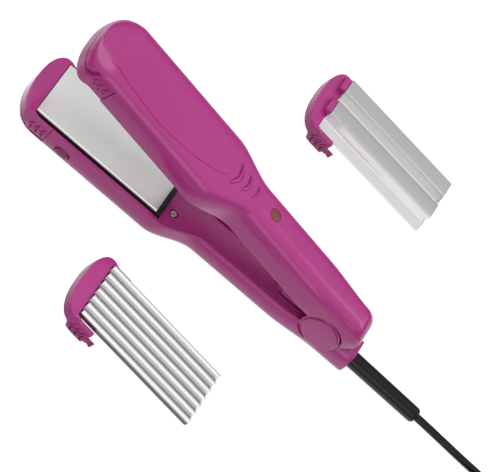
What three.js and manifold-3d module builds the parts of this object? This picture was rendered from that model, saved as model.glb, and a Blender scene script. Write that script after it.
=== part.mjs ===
// A hair crimper that lies open on its lower arm, with two loose heating attachments beside it and its lead
// coiled behind it. Millimetres, +Z up, the tip towards -X, and the origin on the table under the hinge.
import * as THREE from "three";
import { mergeVertices } from "three/addons/utils/BufferGeometryUtils.js";
import Module from "manifold-3d";

const wasm = await Module();
wasm.setup();

// ---- driving dimensions ----
const gap = 0.3; // between pieces that touch
const degree = Math.PI / 180;

const closingZ = 25; // height of the plane where the two plates meet
const openAngle = 13 * degree; // how far the spring holds the arms apart

const plateRearX = -140; // rear end of the plates
const plateLength = 106;
const plateWidth = 48;
const plateSheet = 1.3; // sheet thickness of every plate
const plateFlange = 2.1; // height of the folded edges
const plateClear = 0.2; // each plate stays this far below the closing plane

const rimWidth = 5; // from the plate's edge to the side of the head
const noseReach = 13.5; // from the plate to the front of the nose
const wingLength = 17; // the cap's wings reach this far back beside the plate
const neckLength = 37; // from the head to the grip
const gripHalf = 16.6; // half width of the grip
const tailHalf = 12.6; // half width of the collar behind the hinge
const headRimZ = 20; // rim of the head
const gripRimZ = 20.5; // rim of the grip
const gripBeamZ = 12; // where the grip is widest
const noseFaceZ = 23; // flat crescent face in front of the plate
const collarFrontX = 17; // closed collar of the lower arm
const collarRearX = 31;
const tailRearX = 23.5; // rounded rear end of the upper arm
const upperHeadDepth = 2.5; // the upper arm is this much deeper than the lower one at its head
const upperGripDepth = 5.5; // and at its grip
const wall = 2.4; // wall of the mouldings
const floorTopZ = 5; // inside floor of the head, and the lower edge of the cap's wings
const noseSeamZ = 13.5; // lower edge of the cap round the nose

const carrierStepZ = 16; // the black carrier is wider above this
const carrierTopZ = 22;
const carrierTail = 4.4; // from the plate to the rear of the carrier

const pinRadius = 2.5;
const pinPlay = 0.25; // bore radius over pin radius
const hingeDiscRadius = 15.5;
const earInnerY = 10.6; // inner face of the lower arm's hinge ears
const earThickness = 2.1;
const discThickness = 1.5;
const discMargin = 1; // from the disc to the round cut in the upper arm
const knuckleRadius = 8;
const knuckleInnerY = 4.6;

const buttonSetback = 15.5; // from the cap's wing to the middle of the release button
const buttonZ = 11;
const buttonLength = 12;
const buttonHeight = 8;
const buttonTravel = 1.2;
const buttonFlange = 1; // thickness of the flange that keeps each button in

const screwSetback = 7.4; // from the carrier to the screws of the inner covers
const screwY = 11;
const screwHeadRadius = 2.6;
const screwHeadHeight = 1.6;
const screwSink = 1.5; // depth of the round seat of its head

const sliderX = -26.3; // on/off slider in its racetrack well
const sliderLength = 21;
const sliderWidth = 5.2;
const sliderTravel = 5;
const sliderProud = 0.3; // how far it stands above the cover
const wellWidth = 11;
const wellDepth = 2;

const lensX = -89;
const lensRadius = 4.3;

const crimpCount = 6.5; // waves across the crimping plate
const crimpDepth = 3.6;
const waveHeight = 8.5; // step of the waving plate
const waverLow = 9; // low edge of the waving plate
const waverWall = 1.6;
const waverCrest = 13.6;
const waverValley = 7;

const crimpUnitPlace = [-89, -103.7]; // where the middle of each loose plate lies on the table
const waverUnitPlace = [-27, 157];

const sleeveDiameter = 12.6; // strain relief
const sleeveLength = 63; // outside the collar
const sleeveZ = 10; // height of its axis where it leaves the collar
const sleeveDroop = 2.5 * degree;

const cordDiameter = 6;
const cordLength = 1830; // from the sleeve to the plug
const coilTurns = 7.5; // in two layers
const coilPitch = 6.6; // between turns, and between the layers
const coilStartX = 178; // where the lead runs into the coil
const coilTail = 32; // straight stretch from the coil to the plug
const tieThickness = 0.6;
const tieWidth = 8;
const plugLength = 34;
const plugWidth = 26;
const bladeLength = 18;
const bladeWidth = 6.4;
const bladeThickness = 1.5;
const bladeSpacing = 12.7;

// ---- dimensions that follow from them ----
const plateFrontX = plateRearX - plateLength;
const plateTopZ = closingZ - plateClear;
const plateHalf = plateWidth / 2;
const headHalf = plateHalf + rimWidth;
const noseX = plateFrontX - noseReach;
const seamX = plateFrontX + wingLength; // rear end of the cap's wings
const carrierHalf = plateHalf + gap;
const carrierFrontX = plateFrontX + 2;
const carrierRearX = plateRearX + carrierTail;
const carrierBaseZ = floorTopZ + gap;
const footCavityHalf = headHalf - 6.4; // room in the head below the carrier's step
const boatHalf = headHalf - 3.6; // the housing's nose, which the cap's wings pass outside
const carrierFootHalf = footCavityHalf - (buttonTravel + buttonFlange + 0.8); // room for a pressed button
const headRearX = plateRearX + 1; // where the head starts to narrow
const gripFrontX = headRearX + neckLength;
const buttonX = seamX + buttonSetback;
const screwX = carrierRearX + screwSetback;
const pocketFrontX = plateFrontX - gap; // front of the room for the carrier

// ---- small tools ----
function solidOf(geometry) {
  const bare = geometry.index ? geometry.toNonIndexed() : geometry.clone();
  for (const name of Object.keys(bare.attributes)) if (name !== "position") bare.deleteAttribute(name);
  const merged = mergeVertices(bare, 1e-4);
  const vertProperties = new Float32Array(merged.attributes.position.array);
  return new wasm.Manifold(
    new wasm.Mesh({ numProp: 3, vertProperties, triVerts: new Uint32Array(merged.index.array) }),
  );
}

function geometryOf(solid) {
  const made = solid.getMesh();
  const corners = new Float32Array(made.numVert * 3);
  for (let i = 0; i < made.numVert; i++) {
    corners.set(made.vertProperties.subarray(i * made.numProp, i * made.numProp + 3), i * 3);
  }
  return new THREE.BufferGeometry()
    .setAttribute("position", new THREE.BufferAttribute(corners, 3))
    .setIndex(new THREE.BufferAttribute(new Uint32Array(made.triVerts), 1));
}

const box = (x0, x1, y0, y1, z0, z1) =>
  solidOf(
    new THREE.BoxGeometry(x1 - x0, y1 - y0, z1 - z0).translate((x0 + x1) / 2, (y0 + y1) / 2, (z0 + z1) / 2),
  );

function shapeOf(points) {
  return new THREE.Shape(points.map(([u, v]) => new THREE.Vector2(u, v)));
}

// A prism of an outline in x and z, from y0 to y1.
const prismAlongY = (shape, y0, y1, curveSegments = 12) =>
  solidOf(
    new THREE.ExtrudeGeometry(shape, { depth: y1 - y0, bevelEnabled: false, curveSegments })
      .rotateX(Math.PI / 2)
      .translate(0, y1, 0),
  );

// A prism of an outline in y and z, from x0 to x1.
const alongX = new THREE.Matrix4().makeBasis(
  new THREE.Vector3(0, 1, 0),
  new THREE.Vector3(0, 0, 1),
  new THREE.Vector3(1, 0, 0),
);
const prismAlongX = (shape, x0, x1, curveSegments = 12) =>
  solidOf(
    new THREE.ExtrudeGeometry(shape, { depth: x1 - x0, bevelEnabled: false, curveSegments })
      .applyMatrix4(alongX)
      .translate(x0, 0, 0),
  );

// A prism of an outline in x and y, from z0 to z1.
const prismAlongZ = (shape, z0, z1, curveSegments = 12) =>
  solidOf(
    new THREE.ExtrudeGeometry(shape, { depth: z1 - z0, bevelEnabled: false, curveSegments })
      .translate(0, 0, z0),
  );

const drumAlongY = (radius, y0, y1, x, z, sides = 32) =>
  solidOf(new THREE.CylinderGeometry(radius, radius, y1 - y0, sides).translate(x, (y0 + y1) / 2, z));

const drumAlongZ = (radius, z0, z1, x, y, sides = 24) =>
  solidOf(
    new THREE.CylinderGeometry(radius, radius, z1 - z0, sides)
      .rotateX(Math.PI / 2)
      .translate(x, y, (z0 + z1) / 2),
  );

const drumAlongX = (radius, x0, x1, y, z, sides = 24) =>
  solidOf(
    new THREE.CylinderGeometry(radius, radius, x1 - x0, sides)
      .rotateZ(Math.PI / 2)
      .translate((x0 + x1) / 2, y, z),
  );

function bothSides(make) {
  return make(-1).add(make(1));
}

// A stadium outline, length along u.
function stadium(length, width, u = 0, v = 0) {
  const shape = new THREE.Shape();
  const reach = (length - width) / 2;
  shape.absarc(u + reach, v, width / 2, -Math.PI / 2, Math.PI / 2, false);
  shape.absarc(u - reach, v, width / 2, Math.PI / 2, (3 * Math.PI) / 2, false);
  return shape;
}

// A closed skin over rings of equal point counts, with a fan over each end.
function loft(rings) {
  const count = rings[0].length;
  const corners = rings.flat().flatMap((p) => [p.x, p.y, p.z]);
  const faces = [];
  for (let i = 0; i + 1 < rings.length; i++) {
    for (let j = 0; j < count; j++) {
      const a = i * count + j;
      const b = i * count + ((j + 1) % count);
      faces.push(a, a + count, b, b, a + count, b + count);
    }
  }
  for (const [ring, flip] of [
    [0, false],
    [rings.length - 1, true],
  ]) {
    const middle = new THREE.Vector3();
    rings[ring].forEach((p) => middle.addScaledVector(p, 1 / count));
    const hub = corners.length / 3;
    corners.push(middle.x, middle.y, middle.z);
    for (let j = 0; j < count; j++) {
      const a = ring * count + j;
      const b = ring * count + ((j + 1) % count);
      faces.push(hub, ...(flip ? [b, a] : [a, b]));
    }
  }
  const skin = new THREE.BufferGeometry();
  skin.setAttribute("position", new THREE.Float32BufferAttribute(corners, 3));
  skin.setIndex(faces);
  const solid = solidOf(skin);
  if (solid.volume() > 0) return solid;
  for (let i = 0; i < faces.length; i += 3) [faces[i + 1], faces[i + 2]] = [faces[i + 2], faces[i + 1]];
  skin.setIndex(faces);
  return solidOf(skin);
}

// ---- materials ----
const colours = {
  shell: [0xb2468a, 0.28, 0],
  shellInner: [0x9c3a78, 0.42, 0],
  carrier: [0x1c1d20, 0.55, 0],
  plate: [0xc9cac8, 0.3, 0.85],
  heatBlock: [0x9fa1a3, 0.45, 0.9],
  ceramic: [0xe4dfd4, 0.7, 0],
  steel: [0xb8bbbf, 0.3, 1],
  lens: [0x7d5550, 0.35, 0],
  rubber: [0x202124, 0.62, 0],
  brass: [0xc7a565, 0.3, 1],
};
const object = new THREE.Group();

function piece(name, finish, solid, parent) {
  const [color, roughness, metalness] = colours[finish];
  const made = new THREE.Mesh(
    geometryOf(solid),
    new THREE.MeshStandardMaterial({ color, roughness, metalness }),
  );
  made.name = name;
  parent.add(made);
}

// ---- the arm's outer form ----
// Section of an arm at x: a superellipse below the rim, given by its half width, the height where it is
// widest, the floor, the rim, the power that squares it and how much of its bottom is cut flat.
const smooth = (t) => t * t * (3 - 2 * t);
const between = (x, x0, x1) => smooth(Math.min(1, Math.max(0, (x - x0) / (x1 - x0))));
const mix = (a, b, t) => a + (b - a) * t;

const bottomFlat = 0.6; // the lower arm stands on this flat
const noseRound = 13; // length over which the nose rounds off
const noseCorner = 2.6; // power of the nose's plan curve
const noseRise = 22; // length over which the underside rises towards the nose
const noseLift = 5; // and its height there

function noseWidth(x) {
  const t = Math.min(1, Math.max(0, (x - noseX) / noseRound));
  return Math.pow(1 - Math.pow(1 - t, 2), 1 / noseCorner);
}

function armSection(x) {
  const neck = between(x, headRearX, gripFrontX);
  const nose = between(x, noseX, noseX + noseRise);
  return {
    half: mix(headHalf, gripHalf, neck) * noseWidth(x),
    beamZ: mix(headRimZ, gripBeamZ, neck),
    floorZ: noseLift * (1 - nose),
    rimZ: mix(mix(noseFaceZ, headRimZ, between(x, plateFrontX, plateFrontX + 7)), gripRimZ, neck),
    power: mix(mix(2.8, 5, nose), 2.4, neck),
    flat: 0,
  };
}

// The lower arm narrows behind the grip and closes round the lead; the upper one rounds off.
function lowerSection(x) {
  const s = armSection(x);
  const tail = between(x, -34, 8);
  s.half = mix(s.half, tailHalf, tail);
  s.flat = bottomFlat;
  const closed = between(x, 4, collarFrontX);
  s.rimZ = mix(s.rimZ, 2 * gripBeamZ - 0.7, closed);
  return s;
}

function upperSection(x) {
  const s = armSection(x);
  const neck = between(x, headRearX, gripFrontX);
  s.half = mix(s.half, tailHalf + 1, between(x, -34, 8));
  s.floorZ -= mix(upperHeadDepth * between(x, noseX, noseX + noseRise), upperGripDepth, neck);
  s.power += 0.6 * neck;
  const round = Math.min(1, Math.max(0, (x - (tailRearX - 15)) / 15));
  const drop = Math.sqrt(1 - round * round);
  s.half *= mix(0.62, 1, drop);
  s.floorZ = gripRimZ - (gripRimZ - s.floorZ) * mix(0.16, 1, drop);
  s.beamZ = Math.max(s.beamZ, s.floorZ + 0.4 * (gripRimZ - s.floorZ));
  return s;
}

const sectionSteps = 15; // odd, so that a flat facet runs along the middle of the underside

function ringAt(x, s, inset = 0, openTop = 0) {
  const half = s.half - inset;
  const drop = s.beamZ - s.floorZ - inset + s.flat;
  const rise = Math.min(s.rimZ - s.beamZ, drop * 0.985);
  const tilt = Math.asin(Math.pow(Math.max(0, rise) / drop, s.power / 2));
  const ring = [];
  for (let i = 0; i <= sectionSteps; i++) {
    const t = mix(-tilt, Math.PI + tilt, i / sectionSteps);
    const c = Math.cos(t);
    const d = Math.sin(t);
    ring.push(
      new THREE.Vector3(
        x,
        -half * Math.sign(c) * Math.pow(Math.abs(c), 2 / s.power),
        Math.max(s.floorZ + inset, s.beamZ - drop * Math.sign(d) * Math.pow(Math.abs(d), 2 / s.power)),
      ),
    );
  }
  if (openTop) {
    const first = ring[0];
    const last = ring[sectionSteps];
    ring.push(new THREE.Vector3(x, last.y, last.z + openTop));
    ring.push(new THREE.Vector3(x, first.y, first.z + openTop));
  }
  return ring;
}

// Half width of the arm at its rim.
function rimHalf(x, sectionAt) {
  return ringAt(x, sectionAt(x))[sectionSteps].y;
}

const noseStations = [0, 0.4, 1.5, 3.4, 6, 9.4, 13.5].map((d) => noseX + d);
const headStations = [plateFrontX + 7, seamX, headRearX];
const neckStations = [0.18, 0.35, 0.52, 0.7, 0.85, 1].map((t) => headRearX + t * neckLength);
const gripStations = [-34, -25, -16, -8];
const lowerTailStations = [1.5, 5, 8, 12.5, collarFrontX, collarRearX];
const upperTailStations = [0, 5, 10, ...[10, 6.5, 3.3, 1.5, 0.15].map((d) => tailRearX - d)];

const frontStations = [...noseStations, ...headStations, ...neckStations, ...gripStations];

function armBody(sectionAt, tailStations) {
  return loft([...frontStations, ...tailStations].map((x) => ringAt(x, sectionAt(x))));
}

// ---- the cap's share of the arm ----
// The cap takes the closing side of the nose and ends in two wings at the seam. The wings pass outside the
// housing's nose, so that the cap slides off forwards.
const wingLowZ = floorTopZ + gap / 2;

function capRegion() {
  const side = new THREE.Shape();
  side.moveTo(noseX - 5, noseSeamZ);
  side.lineTo(plateFrontX - 4, noseSeamZ);
  side.quadraticCurveTo(plateFrontX - 1, noseSeamZ, plateFrontX + 0.5, (noseSeamZ + wingLowZ) / 2);
  side.quadraticCurveTo(plateFrontX + 1.6, wingLowZ, plateFrontX + 4, wingLowZ);
  side.lineTo(seamX - gap / 2, wingLowZ);
  side.lineTo(seamX - gap / 2, 40);
  side.lineTo(noseX - 5, 40);
  const inside = boatHalf + gap;
  return prismAlongY(side, -headHalf - 5, headHalf + 5, 4)
    .subtract(box(noseX - 6, seamX + 1, -inside, inside, 0, noseSeamZ));
}

// What the housing leaves free for the cap, from the nose to the seam.
function capRoom() {
  const x1 = seamX + gap / 2;
  return bothSides((side) => {
    const y0 = side * boatHalf;
    const y1 = side * (headHalf + 5);
    return box(noseX - 5, x1, Math.min(y0, y1), Math.max(y0, y1), floorTopZ - gap / 2, 40);
  }).add(box(noseX - 5, x1, -boatHalf - 1, boatHalf + 1, noseSeamZ - gap, 40));
}

// The hollow behind the nose's wall, in the housing and in the cap.
function noseHollow(sectionAt) {
  return loft(
    [3, 5, 8, 11].map((d) => {
      const x = noseX + d;
      const s = sectionAt(x - wall);
      s.half = Math.min(s.half, boatHalf);
      s.beamZ = noseFaceZ - 2;
      s.rimZ = s.beamZ;
      return ringAt(x, s, wall);
    }),
  );
}

// Room for the carrier, two steps wide, from x0 to x1.
function steppedRoom(x0, x1, z0, z1, halfTop, halfFoot) {
  return prismAlongX(
    shapeOf([
      [-halfFoot, z0],
      [halfFoot, z0],
      [halfFoot, carrierStepZ - gap],
      [halfTop, carrierStepZ - gap],
      [halfTop, z1],
      [-halfTop, z1],
      [-halfTop, carrierStepZ - gap],
      [-halfFoot, carrierStepZ - gap],
    ]),
    x0,
    x1,
  );
}

const hookLength = 6.5;
const hookInnerY = boatHalf + gap + 0.2;
const hookOuterY = hookInnerY + 1.4;
const hookHalfHeight = 2.6;

function hookAt(x0, x1, slack) {
  return box(
    x0,
    x1,
    -hookOuterY - slack,
    -hookInnerY + slack,
    buttonZ - hookHalfHeight - slack,
    buttonZ + hookHalfHeight + slack,
  );
}

// A crescent with its back towards -u.
function crescent(u, v, height, thickness) {
  const radius = height / 2;
  const shape = new THREE.Shape();
  shape.absarc(u + radius, v, radius, 0.6 * Math.PI, 1.4 * Math.PI, false);
  shape.absarc(u + radius + thickness, v, radius, 1.36 * Math.PI, 0.64 * Math.PI, true);
  return shape;
}

// A crescent with its back towards +u.
function moon(u, v, height, thickness) {
  const radius = height / 2;
  const shape = new THREE.Shape();
  shape.absarc(u - radius, v, radius, -0.4 * Math.PI, 0.4 * Math.PI, false);
  shape.absarc(u - radius - thickness, v, radius, 0.36 * Math.PI, -0.36 * Math.PI, true);
  return shape;
}

// Three raised crescents on each wing, their faces parallel to the wing's.
const ribHeight = 9.4;
const ribThickness = 1.5;
const ribSpacing = 4.75;
const ribProud = 0.5;
const ribZ = 12.5;
const lastRibX = seamX - 6.4;

function wingRibs(sectionAt) {
  const outside = loft(
    [seamX - 21, seamX - 15, seamX - 8, seamX].map((x) => {
      const s = sectionAt(x);
      s.rimZ = s.beamZ;
      return ringAt(x, s, -ribProud);
    }),
  );
  return [0, 1, 2]
    .map((i) => crescent(lastRibX - i * ribSpacing, ribZ, ribHeight, ribThickness))
    .map((shape) => prismAlongY(shape, -headHalf - 5, headHalf + 5, 4))
    .reduce((a, b) => a.add(b))
    .intersect(outside);
}

function capSolid(sectionAt) {
  return armBody(sectionAt, [0])
    .intersect(capRegion())
    .add(wingRibs(sectionAt))
    .subtract(steppedRoom(pocketFrontX, seamX + 5, 0, 40, carrierHalf + gap, boatHalf + gap))
    .subtract(noseHollow(sectionAt))
    .add(hookAt(seamX - 6, seamX + hookLength, 0))
    .subtract(
      box(seamX + 2.2, seamX + 4.6, -hookOuterY - 1, -hookOuterY + 0.7, buttonZ - 4, buttonZ + 4),
    );
}

// ---- plates ----
function flatPlate() {
  const skin = box(plateFrontX, plateRearX, -plateHalf, plateHalf, plateTopZ - plateFlange, plateTopZ);
  const inside = plateHalf - plateSheet;
  const low = plateTopZ - plateFlange - 1;
  return skin.subtract(box(plateFrontX - 1, plateRearX + 1, -inside, inside, low, plateTopZ - plateSheet));
}

// Outline of a sheet that follows a profile across the plate, with a folded edge along each side.
function sheetOutline(profile) {
  const low = profile.map(([y, z], i) => {
    const [y0, z0] = profile[Math.max(0, i - 1)];
    const [y1, z1] = profile[Math.min(profile.length - 1, i + 1)];
    const run = Math.hypot(y1 - y0, z1 - z0);
    return [y + ((z1 - z0) / run) * plateSheet, z - ((y1 - y0) / run) * plateSheet];
  });
  return [...profile, ...low.reverse()];
}

const crimpBaseZ = plateTopZ - plateFlange - plateSheet;

function crimpProfile() {
  const steps = Math.round(crimpCount * 8);
  const points = [[-plateHalf, crimpBaseZ - 1.2]];
  for (let i = 0; i <= steps; i++) {
    const t = i / steps;
    const wave = Math.sin(t * crimpCount * 2 * Math.PI);
    points.push([
      mix(-plateHalf + 0.4, plateHalf - 0.4, t),
      plateTopZ + (crimpDepth / 2) * wave,
    ]);
  }
  points.push([plateHalf, crimpBaseZ - 1.2]);
  return points;
}

function waverProfile() {
  const low = plateTopZ - waveHeight / 2;
  const high = plateTopZ + waveHeight / 2;
  let y = -plateHalf + 0.5;
  const corners = [[y, low, 0.8]];
  const step = (run, z) => {
    y += run;
    corners.push([y, z]);
  };
  step(waverLow - 0.5, low);
  step(waverWall, high);
  step(waverCrest, high);
  step(waverWall, low);
  step(waverValley, low);
  step(waverWall, high);
  step(waverCrest - 0.5, high);
  // round each inner corner with a short arc
  const reach = 1.3;
  const points = [[-plateHalf, low - plateFlange]];
  corners.forEach(([cy, cz], i) => {
    if (i === 0 || i === corners.length - 1) {
      points.push([cy, cz]);
      return;
    }
    const before = new THREE.Vector2(corners[i - 1][0] - cy, corners[i - 1][1] - cz).normalize();
    const after = new THREE.Vector2(corners[i + 1][0] - cy, corners[i + 1][1] - cz).normalize();
    for (const t of [0, 0.33, 0.67, 1]) {
      const a = (1 - t) * (1 - t) * reach;
      const b = t * t * reach;
      points.push([cy + before.x * a + after.x * b, cz + before.y * a + after.y * b]);
    }
  });
  points.push([plateHalf, high - plateFlange]);
  return points;
}

// The waving unit's cap closes the front ends of both crests.
const waverCrestZ = plateTopZ + waveHeight / 2;

function waverCap() {
  const lug = (y0, y1) => {
    const shape = new THREE.Shape();
    const round = 2.5;
    const top = waverCrestZ - 0.2;
    shape.moveTo(y0, noseFaceZ - 1.5);
    shape.lineTo(y1, noseFaceZ - 1.5);
    shape.lineTo(y1, top - round);
    shape.absarc(y1 - round, top - round, round, 0, Math.PI / 2, false);
    shape.absarc(y0 + round, top - round, round, Math.PI / 2, Math.PI, false);
    return prismAlongX(shape, plateFrontX - 5, plateFrontX - gap, 5);
  };
  const firstCrest = -plateHalf + waverLow + waverWall;
  const secondCrest = firstCrest + waverCrest + 2 * waverWall + waverValley;
  const slot = box(pocketFrontX, seamX, -plateHalf - gap, plateHalf + gap, floorTopZ - 1, 40);
  return cap
    .subtract(slot)
    .add(lug(firstCrest, firstCrest + waverCrest))
    .add(lug(secondCrest, plateHalf - 0.5));
}

// ---- heating parts that stay in the arm ----
const wireZ = 10; // heater lead
const wireRadius = 1.8;
const wireHoleRadius = 2.6;
const blockTopZ = plateTopZ - plateSheet - gap;
const blockHalf = plateHalf - plateSheet - gap;

function carrierSolid() {
  const inside = carrierFootHalf - 1.6;
  const pocket = box(carrierFrontX + 3, carrierRearX - 4.3, -inside, inside, pocketFloorZ, 40);
  const seat = box(
    carrierFrontX - 1,
    plateRearX + gap,
    -blockHalf - gap,
    blockHalf + gap,
    carrierTopZ - 4,
    40,
  );
  const flangeRoom = box(
    carrierFrontX - 1,
    plateRearX + gap,
    -plateHalf - 1,
    plateHalf + 1,
    plateTopZ - plateFlange - gap,
    40,
  );
  const body = prismAlongX(
    shapeOf([
      [-carrierFootHalf, carrierBaseZ],
      [carrierFootHalf, carrierBaseZ],
      [carrierFootHalf, carrierStepZ],
      [carrierHalf, carrierStepZ],
      [carrierHalf, carrierTopZ + 1.6],
      [-carrierHalf, carrierTopZ + 1.6],
      [-carrierHalf, carrierStepZ],
      [-carrierFootHalf, carrierStepZ],
    ]),
    carrierFrontX,
    carrierRearX,
  );
  return body
    .subtract(pocket)
    .subtract(seat)
    .subtract(flangeRoom)
    .subtract(drumAlongX(wireHoleRadius, carrierRearX - 6, carrierRearX + 1, 0, wireZ, 12));
}

const blockSeatZ = carrierTopZ - 4 + gap;
const fuseY = 9;
const fuseZ = blockSeatZ - 1.6;

function heatBlockSolid() {
  const x0 = carrierFrontX + 0.6;
  const x1 = plateRearX - 0.6;
  const table = box(x0, x1, -blockHalf, blockHalf, blockSeatZ, blockTopZ);
  const keelHalf = carrierFootHalf - 3.1;
  const keel = box(x0 + 4, x1 - 4, -keelHalf, keelHalf, blockSeatZ - keelDepth, blockSeatZ + 0.5);
  return table.add(keel).subtract(drumAlongX(1.6, x1 - 20, x1 + 1, fuseY, fuseZ, 12));
}

const pocketFloorZ = 8;
const keelDepth = 4;
const heaterTopZ = blockSeatZ - keelDepth - gap;
const heaterThickness = 2.4;

function heaterSolid() {
  const half = carrierFootHalf - 6.6;
  return box(carrierFrontX + 12, plateRearX - 12, -half, half, heaterTopZ - heaterThickness, heaterTopZ);
}

function insulationPad() {
  const top = heaterTopZ - heaterThickness - gap;
  const half = carrierFootHalf - 4.6;
  return box(carrierFrontX + 10, plateRearX - 10, -half, half, pocketFloorZ + gap, top);
}

// Thermal fuse in the bore of the heat block, with its wire behind it.
function thermalFuse() {
  const x1 = plateRearX - 3;
  return drumAlongX(1.25, x1 - 14, x1, fuseY, fuseZ, 12)
    .add(drumAlongX(0.5, x1 - 0.5, x1 + 2.8, fuseY, fuseZ, 8));
}

// ---- screws ----
function panScrew(x, y, headBottomZ, length) {
  const head = new THREE.LatheGeometry(
    [
      [0, 0],
      [screwHeadRadius, 0],
      [screwHeadRadius, screwHeadHeight * 0.45],
      [screwHeadRadius * 0.72, screwHeadHeight * 0.9],
      [0, screwHeadHeight],
    ].map(([r, h]) => new THREE.Vector2(r, h)),
    12,
  )
    .rotateX(Math.PI / 2)
    .translate(x, y, headBottomZ);
  const shank = drumAlongZ(1.2, headBottomZ - length, headBottomZ + 0.5, x, y, 8);
  const slotDepth = screwHeadHeight * 0.55;
  const slotTop = headBottomZ + screwHeadHeight + 1;
  const slotLow = headBottomZ + screwHeadHeight - slotDepth;
  return solidOf(head)
    .add(shank)
    .subtract(box(x - 1.5, x + 1.5, y - 0.35, y + 0.35, slotLow, slotTop))
    .subtract(box(x - 0.35, x + 0.35, y - 1.5, y + 1.5, slotLow, slotTop));
}

// ---- inner cover of the grip ----
const coverFrontX = carrierRearX + 2;
const coverRearX = -11;
const coverThickness = 3.4;
const coverSink = 2.2; // the cover lies this far below the rim
const coverLip = 2.3; // rim left standing round the cover
const coverStations = [coverFrontX, ...neckStations.slice(1), -34, -25, -16, coverRearX];

function coverRing(x, sectionAt, slack, z0, z1, crown) {
  const half = rimHalf(x, sectionAt) - coverLip - slack;
  const ring = [new THREE.Vector3(x, -half, z0), new THREE.Vector3(x, half, z0)];
  for (let i = 0; i <= 6; i++) {
    const t = 1 - i / 3;
    ring.push(new THREE.Vector3(x, half * t, z1 + crown * (1 - t * t)));
  }
  return ring;
}

const wellFrontX = sliderX - sliderLength / 2 - sliderTravel - 1.6;
const wellRearX = sliderX + sliderLength / 2 + 1;
const wellMiddleX = (wellFrontX + wellRearX) / 2;
const wellRimHeight = 0.5;
const stemLength = 6;
const stemWidth = 2.6;
const coverTopZ = gripRimZ - coverSink;
const switchTopZ = coverTopZ - coverThickness - gap;

function sliderWell() {
  const well = stadium(wellRearX - wellFrontX, wellWidth, wellMiddleX, 0);
  const slotLength = stemLength + sliderTravel + 2 * gap;
  const slot = stadium(slotLength, stemWidth + 2 * gap, sliderX - sliderTravel / 2, 0);
  return prismAlongZ(well, coverTopZ - wellDepth, coverTopZ + 5, 7).add(prismAlongZ(slot, 5, coverTopZ, 6));
}

// The raised rim round the well.
function wellRim() {
  const rim = stadium(wellRearX - wellFrontX + 3, wellWidth + 3, wellMiddleX, 0);
  return prismAlongZ(rim, coverTopZ - 1, coverTopZ + 0.7 + wellRimHeight, 7);
}

function powerSlider() {
  const floor = coverTopZ - wellDepth + gap;
  const bar = stadium(sliderLength, sliderWidth, sliderX, 0);
  const top = coverTopZ + sliderProud;
  const body = prismAlongZ(bar, floor, top - 0.5, 6);
  const crown = stadium(sliderLength - 1, sliderWidth - 1, sliderX, 0);
  return body
    .add(prismAlongZ(crown, top - 1, top, 6))
    .add(prismAlongZ(stadium(stemLength, stemWidth, sliderX, 0), switchTopZ + gap, floor + 0.5, 6));
}

const switchFrontX = sliderX - 12;
const switchRearX = sliderX + 7;

function powerSwitch() {
  const body = box(switchFrontX, switchRearX, -4.5, 4.5, switchTopZ - 6.6, switchTopZ);
  return [4, 14]
    .map((d) => box(switchFrontX + d, switchFrontX + d + 1, -2, 2, switchTopZ - 9, switchTopZ - 6))
    .reduce((a, b) => a.add(b), body);
}

function coverSolid(sectionAt) {
  const body = loft(
    coverStations.map((x, i) => {
      const end = i === 0 ? gap : i === coverStations.length - 1 ? -gap : 0;
      const rim = sectionAt(x).rimZ;
      return coverRing(x + end, sectionAt, gap, rim - coverThickness - coverSink, rim - coverSink, 0.7);
    }),
  );
  return [-1, 1].reduce((made, side) => {
    const rim = sectionAt(screwX).rimZ;
    const seat = rim - coverSink - screwSink;
    return made
      .subtract(drumAlongZ(screwHeadRadius + 0.7, seat, rim + 5, screwX, side * screwY, 20))
      .subtract(drumAlongZ(1.5, 0, rim + 5, screwX, side * screwY, 12));
  }, body);
}

function coverSeat(sectionAt) {
  return loft(
    coverStations.map((x) => {
      const rim = sectionAt(x).rimZ;
      return coverRing(x, sectionAt, 0, rim - coverThickness - coverSink - gap, rim + 6, 0);
    }),
  );
}

// ---- housings ----
const cavityFrontX = coverFrontX + 0.8;
const innerCavityStations = [cavityFrontX, ...neckStations.slice(1), ...gripStations, 0];

function gripCavity(sectionAt, tail) {
  return loft(
    [...innerCavityStations, ...tail].map((x) => {
      const s = sectionAt(x);
      s.rimZ = s.beamZ + Math.min(s.rimZ - s.beamZ, 0.8 * (s.beamZ - s.floorZ - wall));
      return ringAt(x, s, wall, 14);
    }),
  );
}

function screwBosses(sectionAt) {
  const s = sectionAt(screwX);
  const top = s.rimZ - coverThickness - coverSink - 2 * gap;
  return bothSides((side) => drumAlongZ(3.4, s.floorZ + 1.2, top, screwX, side * screwY, 16));
}

function screwPilots(sectionAt) {
  const top = sectionAt(screwX).rimZ;
  return bothSides((side) => drumAlongZ(1.5, top - 14, top, screwX, side * screwY, 12));
}

const buttonHole = stadium(buttonLength + 2 * gap, buttonHeight + 2 * gap, buttonX, buttonZ);

// The moulding both arms share: head tray, neck and grip, still without its hinge.
function housingShell(sectionAt, tailStations, cavityTail) {
  return armBody(sectionAt, tailStations)
    .subtract(capRoom())
    .subtract(steppedRoom(pocketFrontX, carrierRearX + gap, floorTopZ, 60, carrierHalf + gap, footCavityHalf))
    .subtract(noseHollow(sectionAt))
    .subtract(coverSeat(sectionAt))
    .subtract(gripCavity(sectionAt, cavityTail))
    .add(screwBosses(sectionAt))
    .subtract(screwPilots(sectionAt))
    .subtract(drumAlongX(wireHoleRadius, carrierRearX - 1, cavityFrontX + 3, 0, wireZ, 16))
    .subtract(hookAt(seamX - 1, seamX + hookLength + 1.2, gap))
    .subtract(prismAlongY(buttonHole, -headHalf - 3, -carrierFootHalf, 6));
}

const earOuterY = earInnerY + earThickness;
const discInnerY = earOuterY + gap;
const discOuterY = discInnerY + discThickness;

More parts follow.
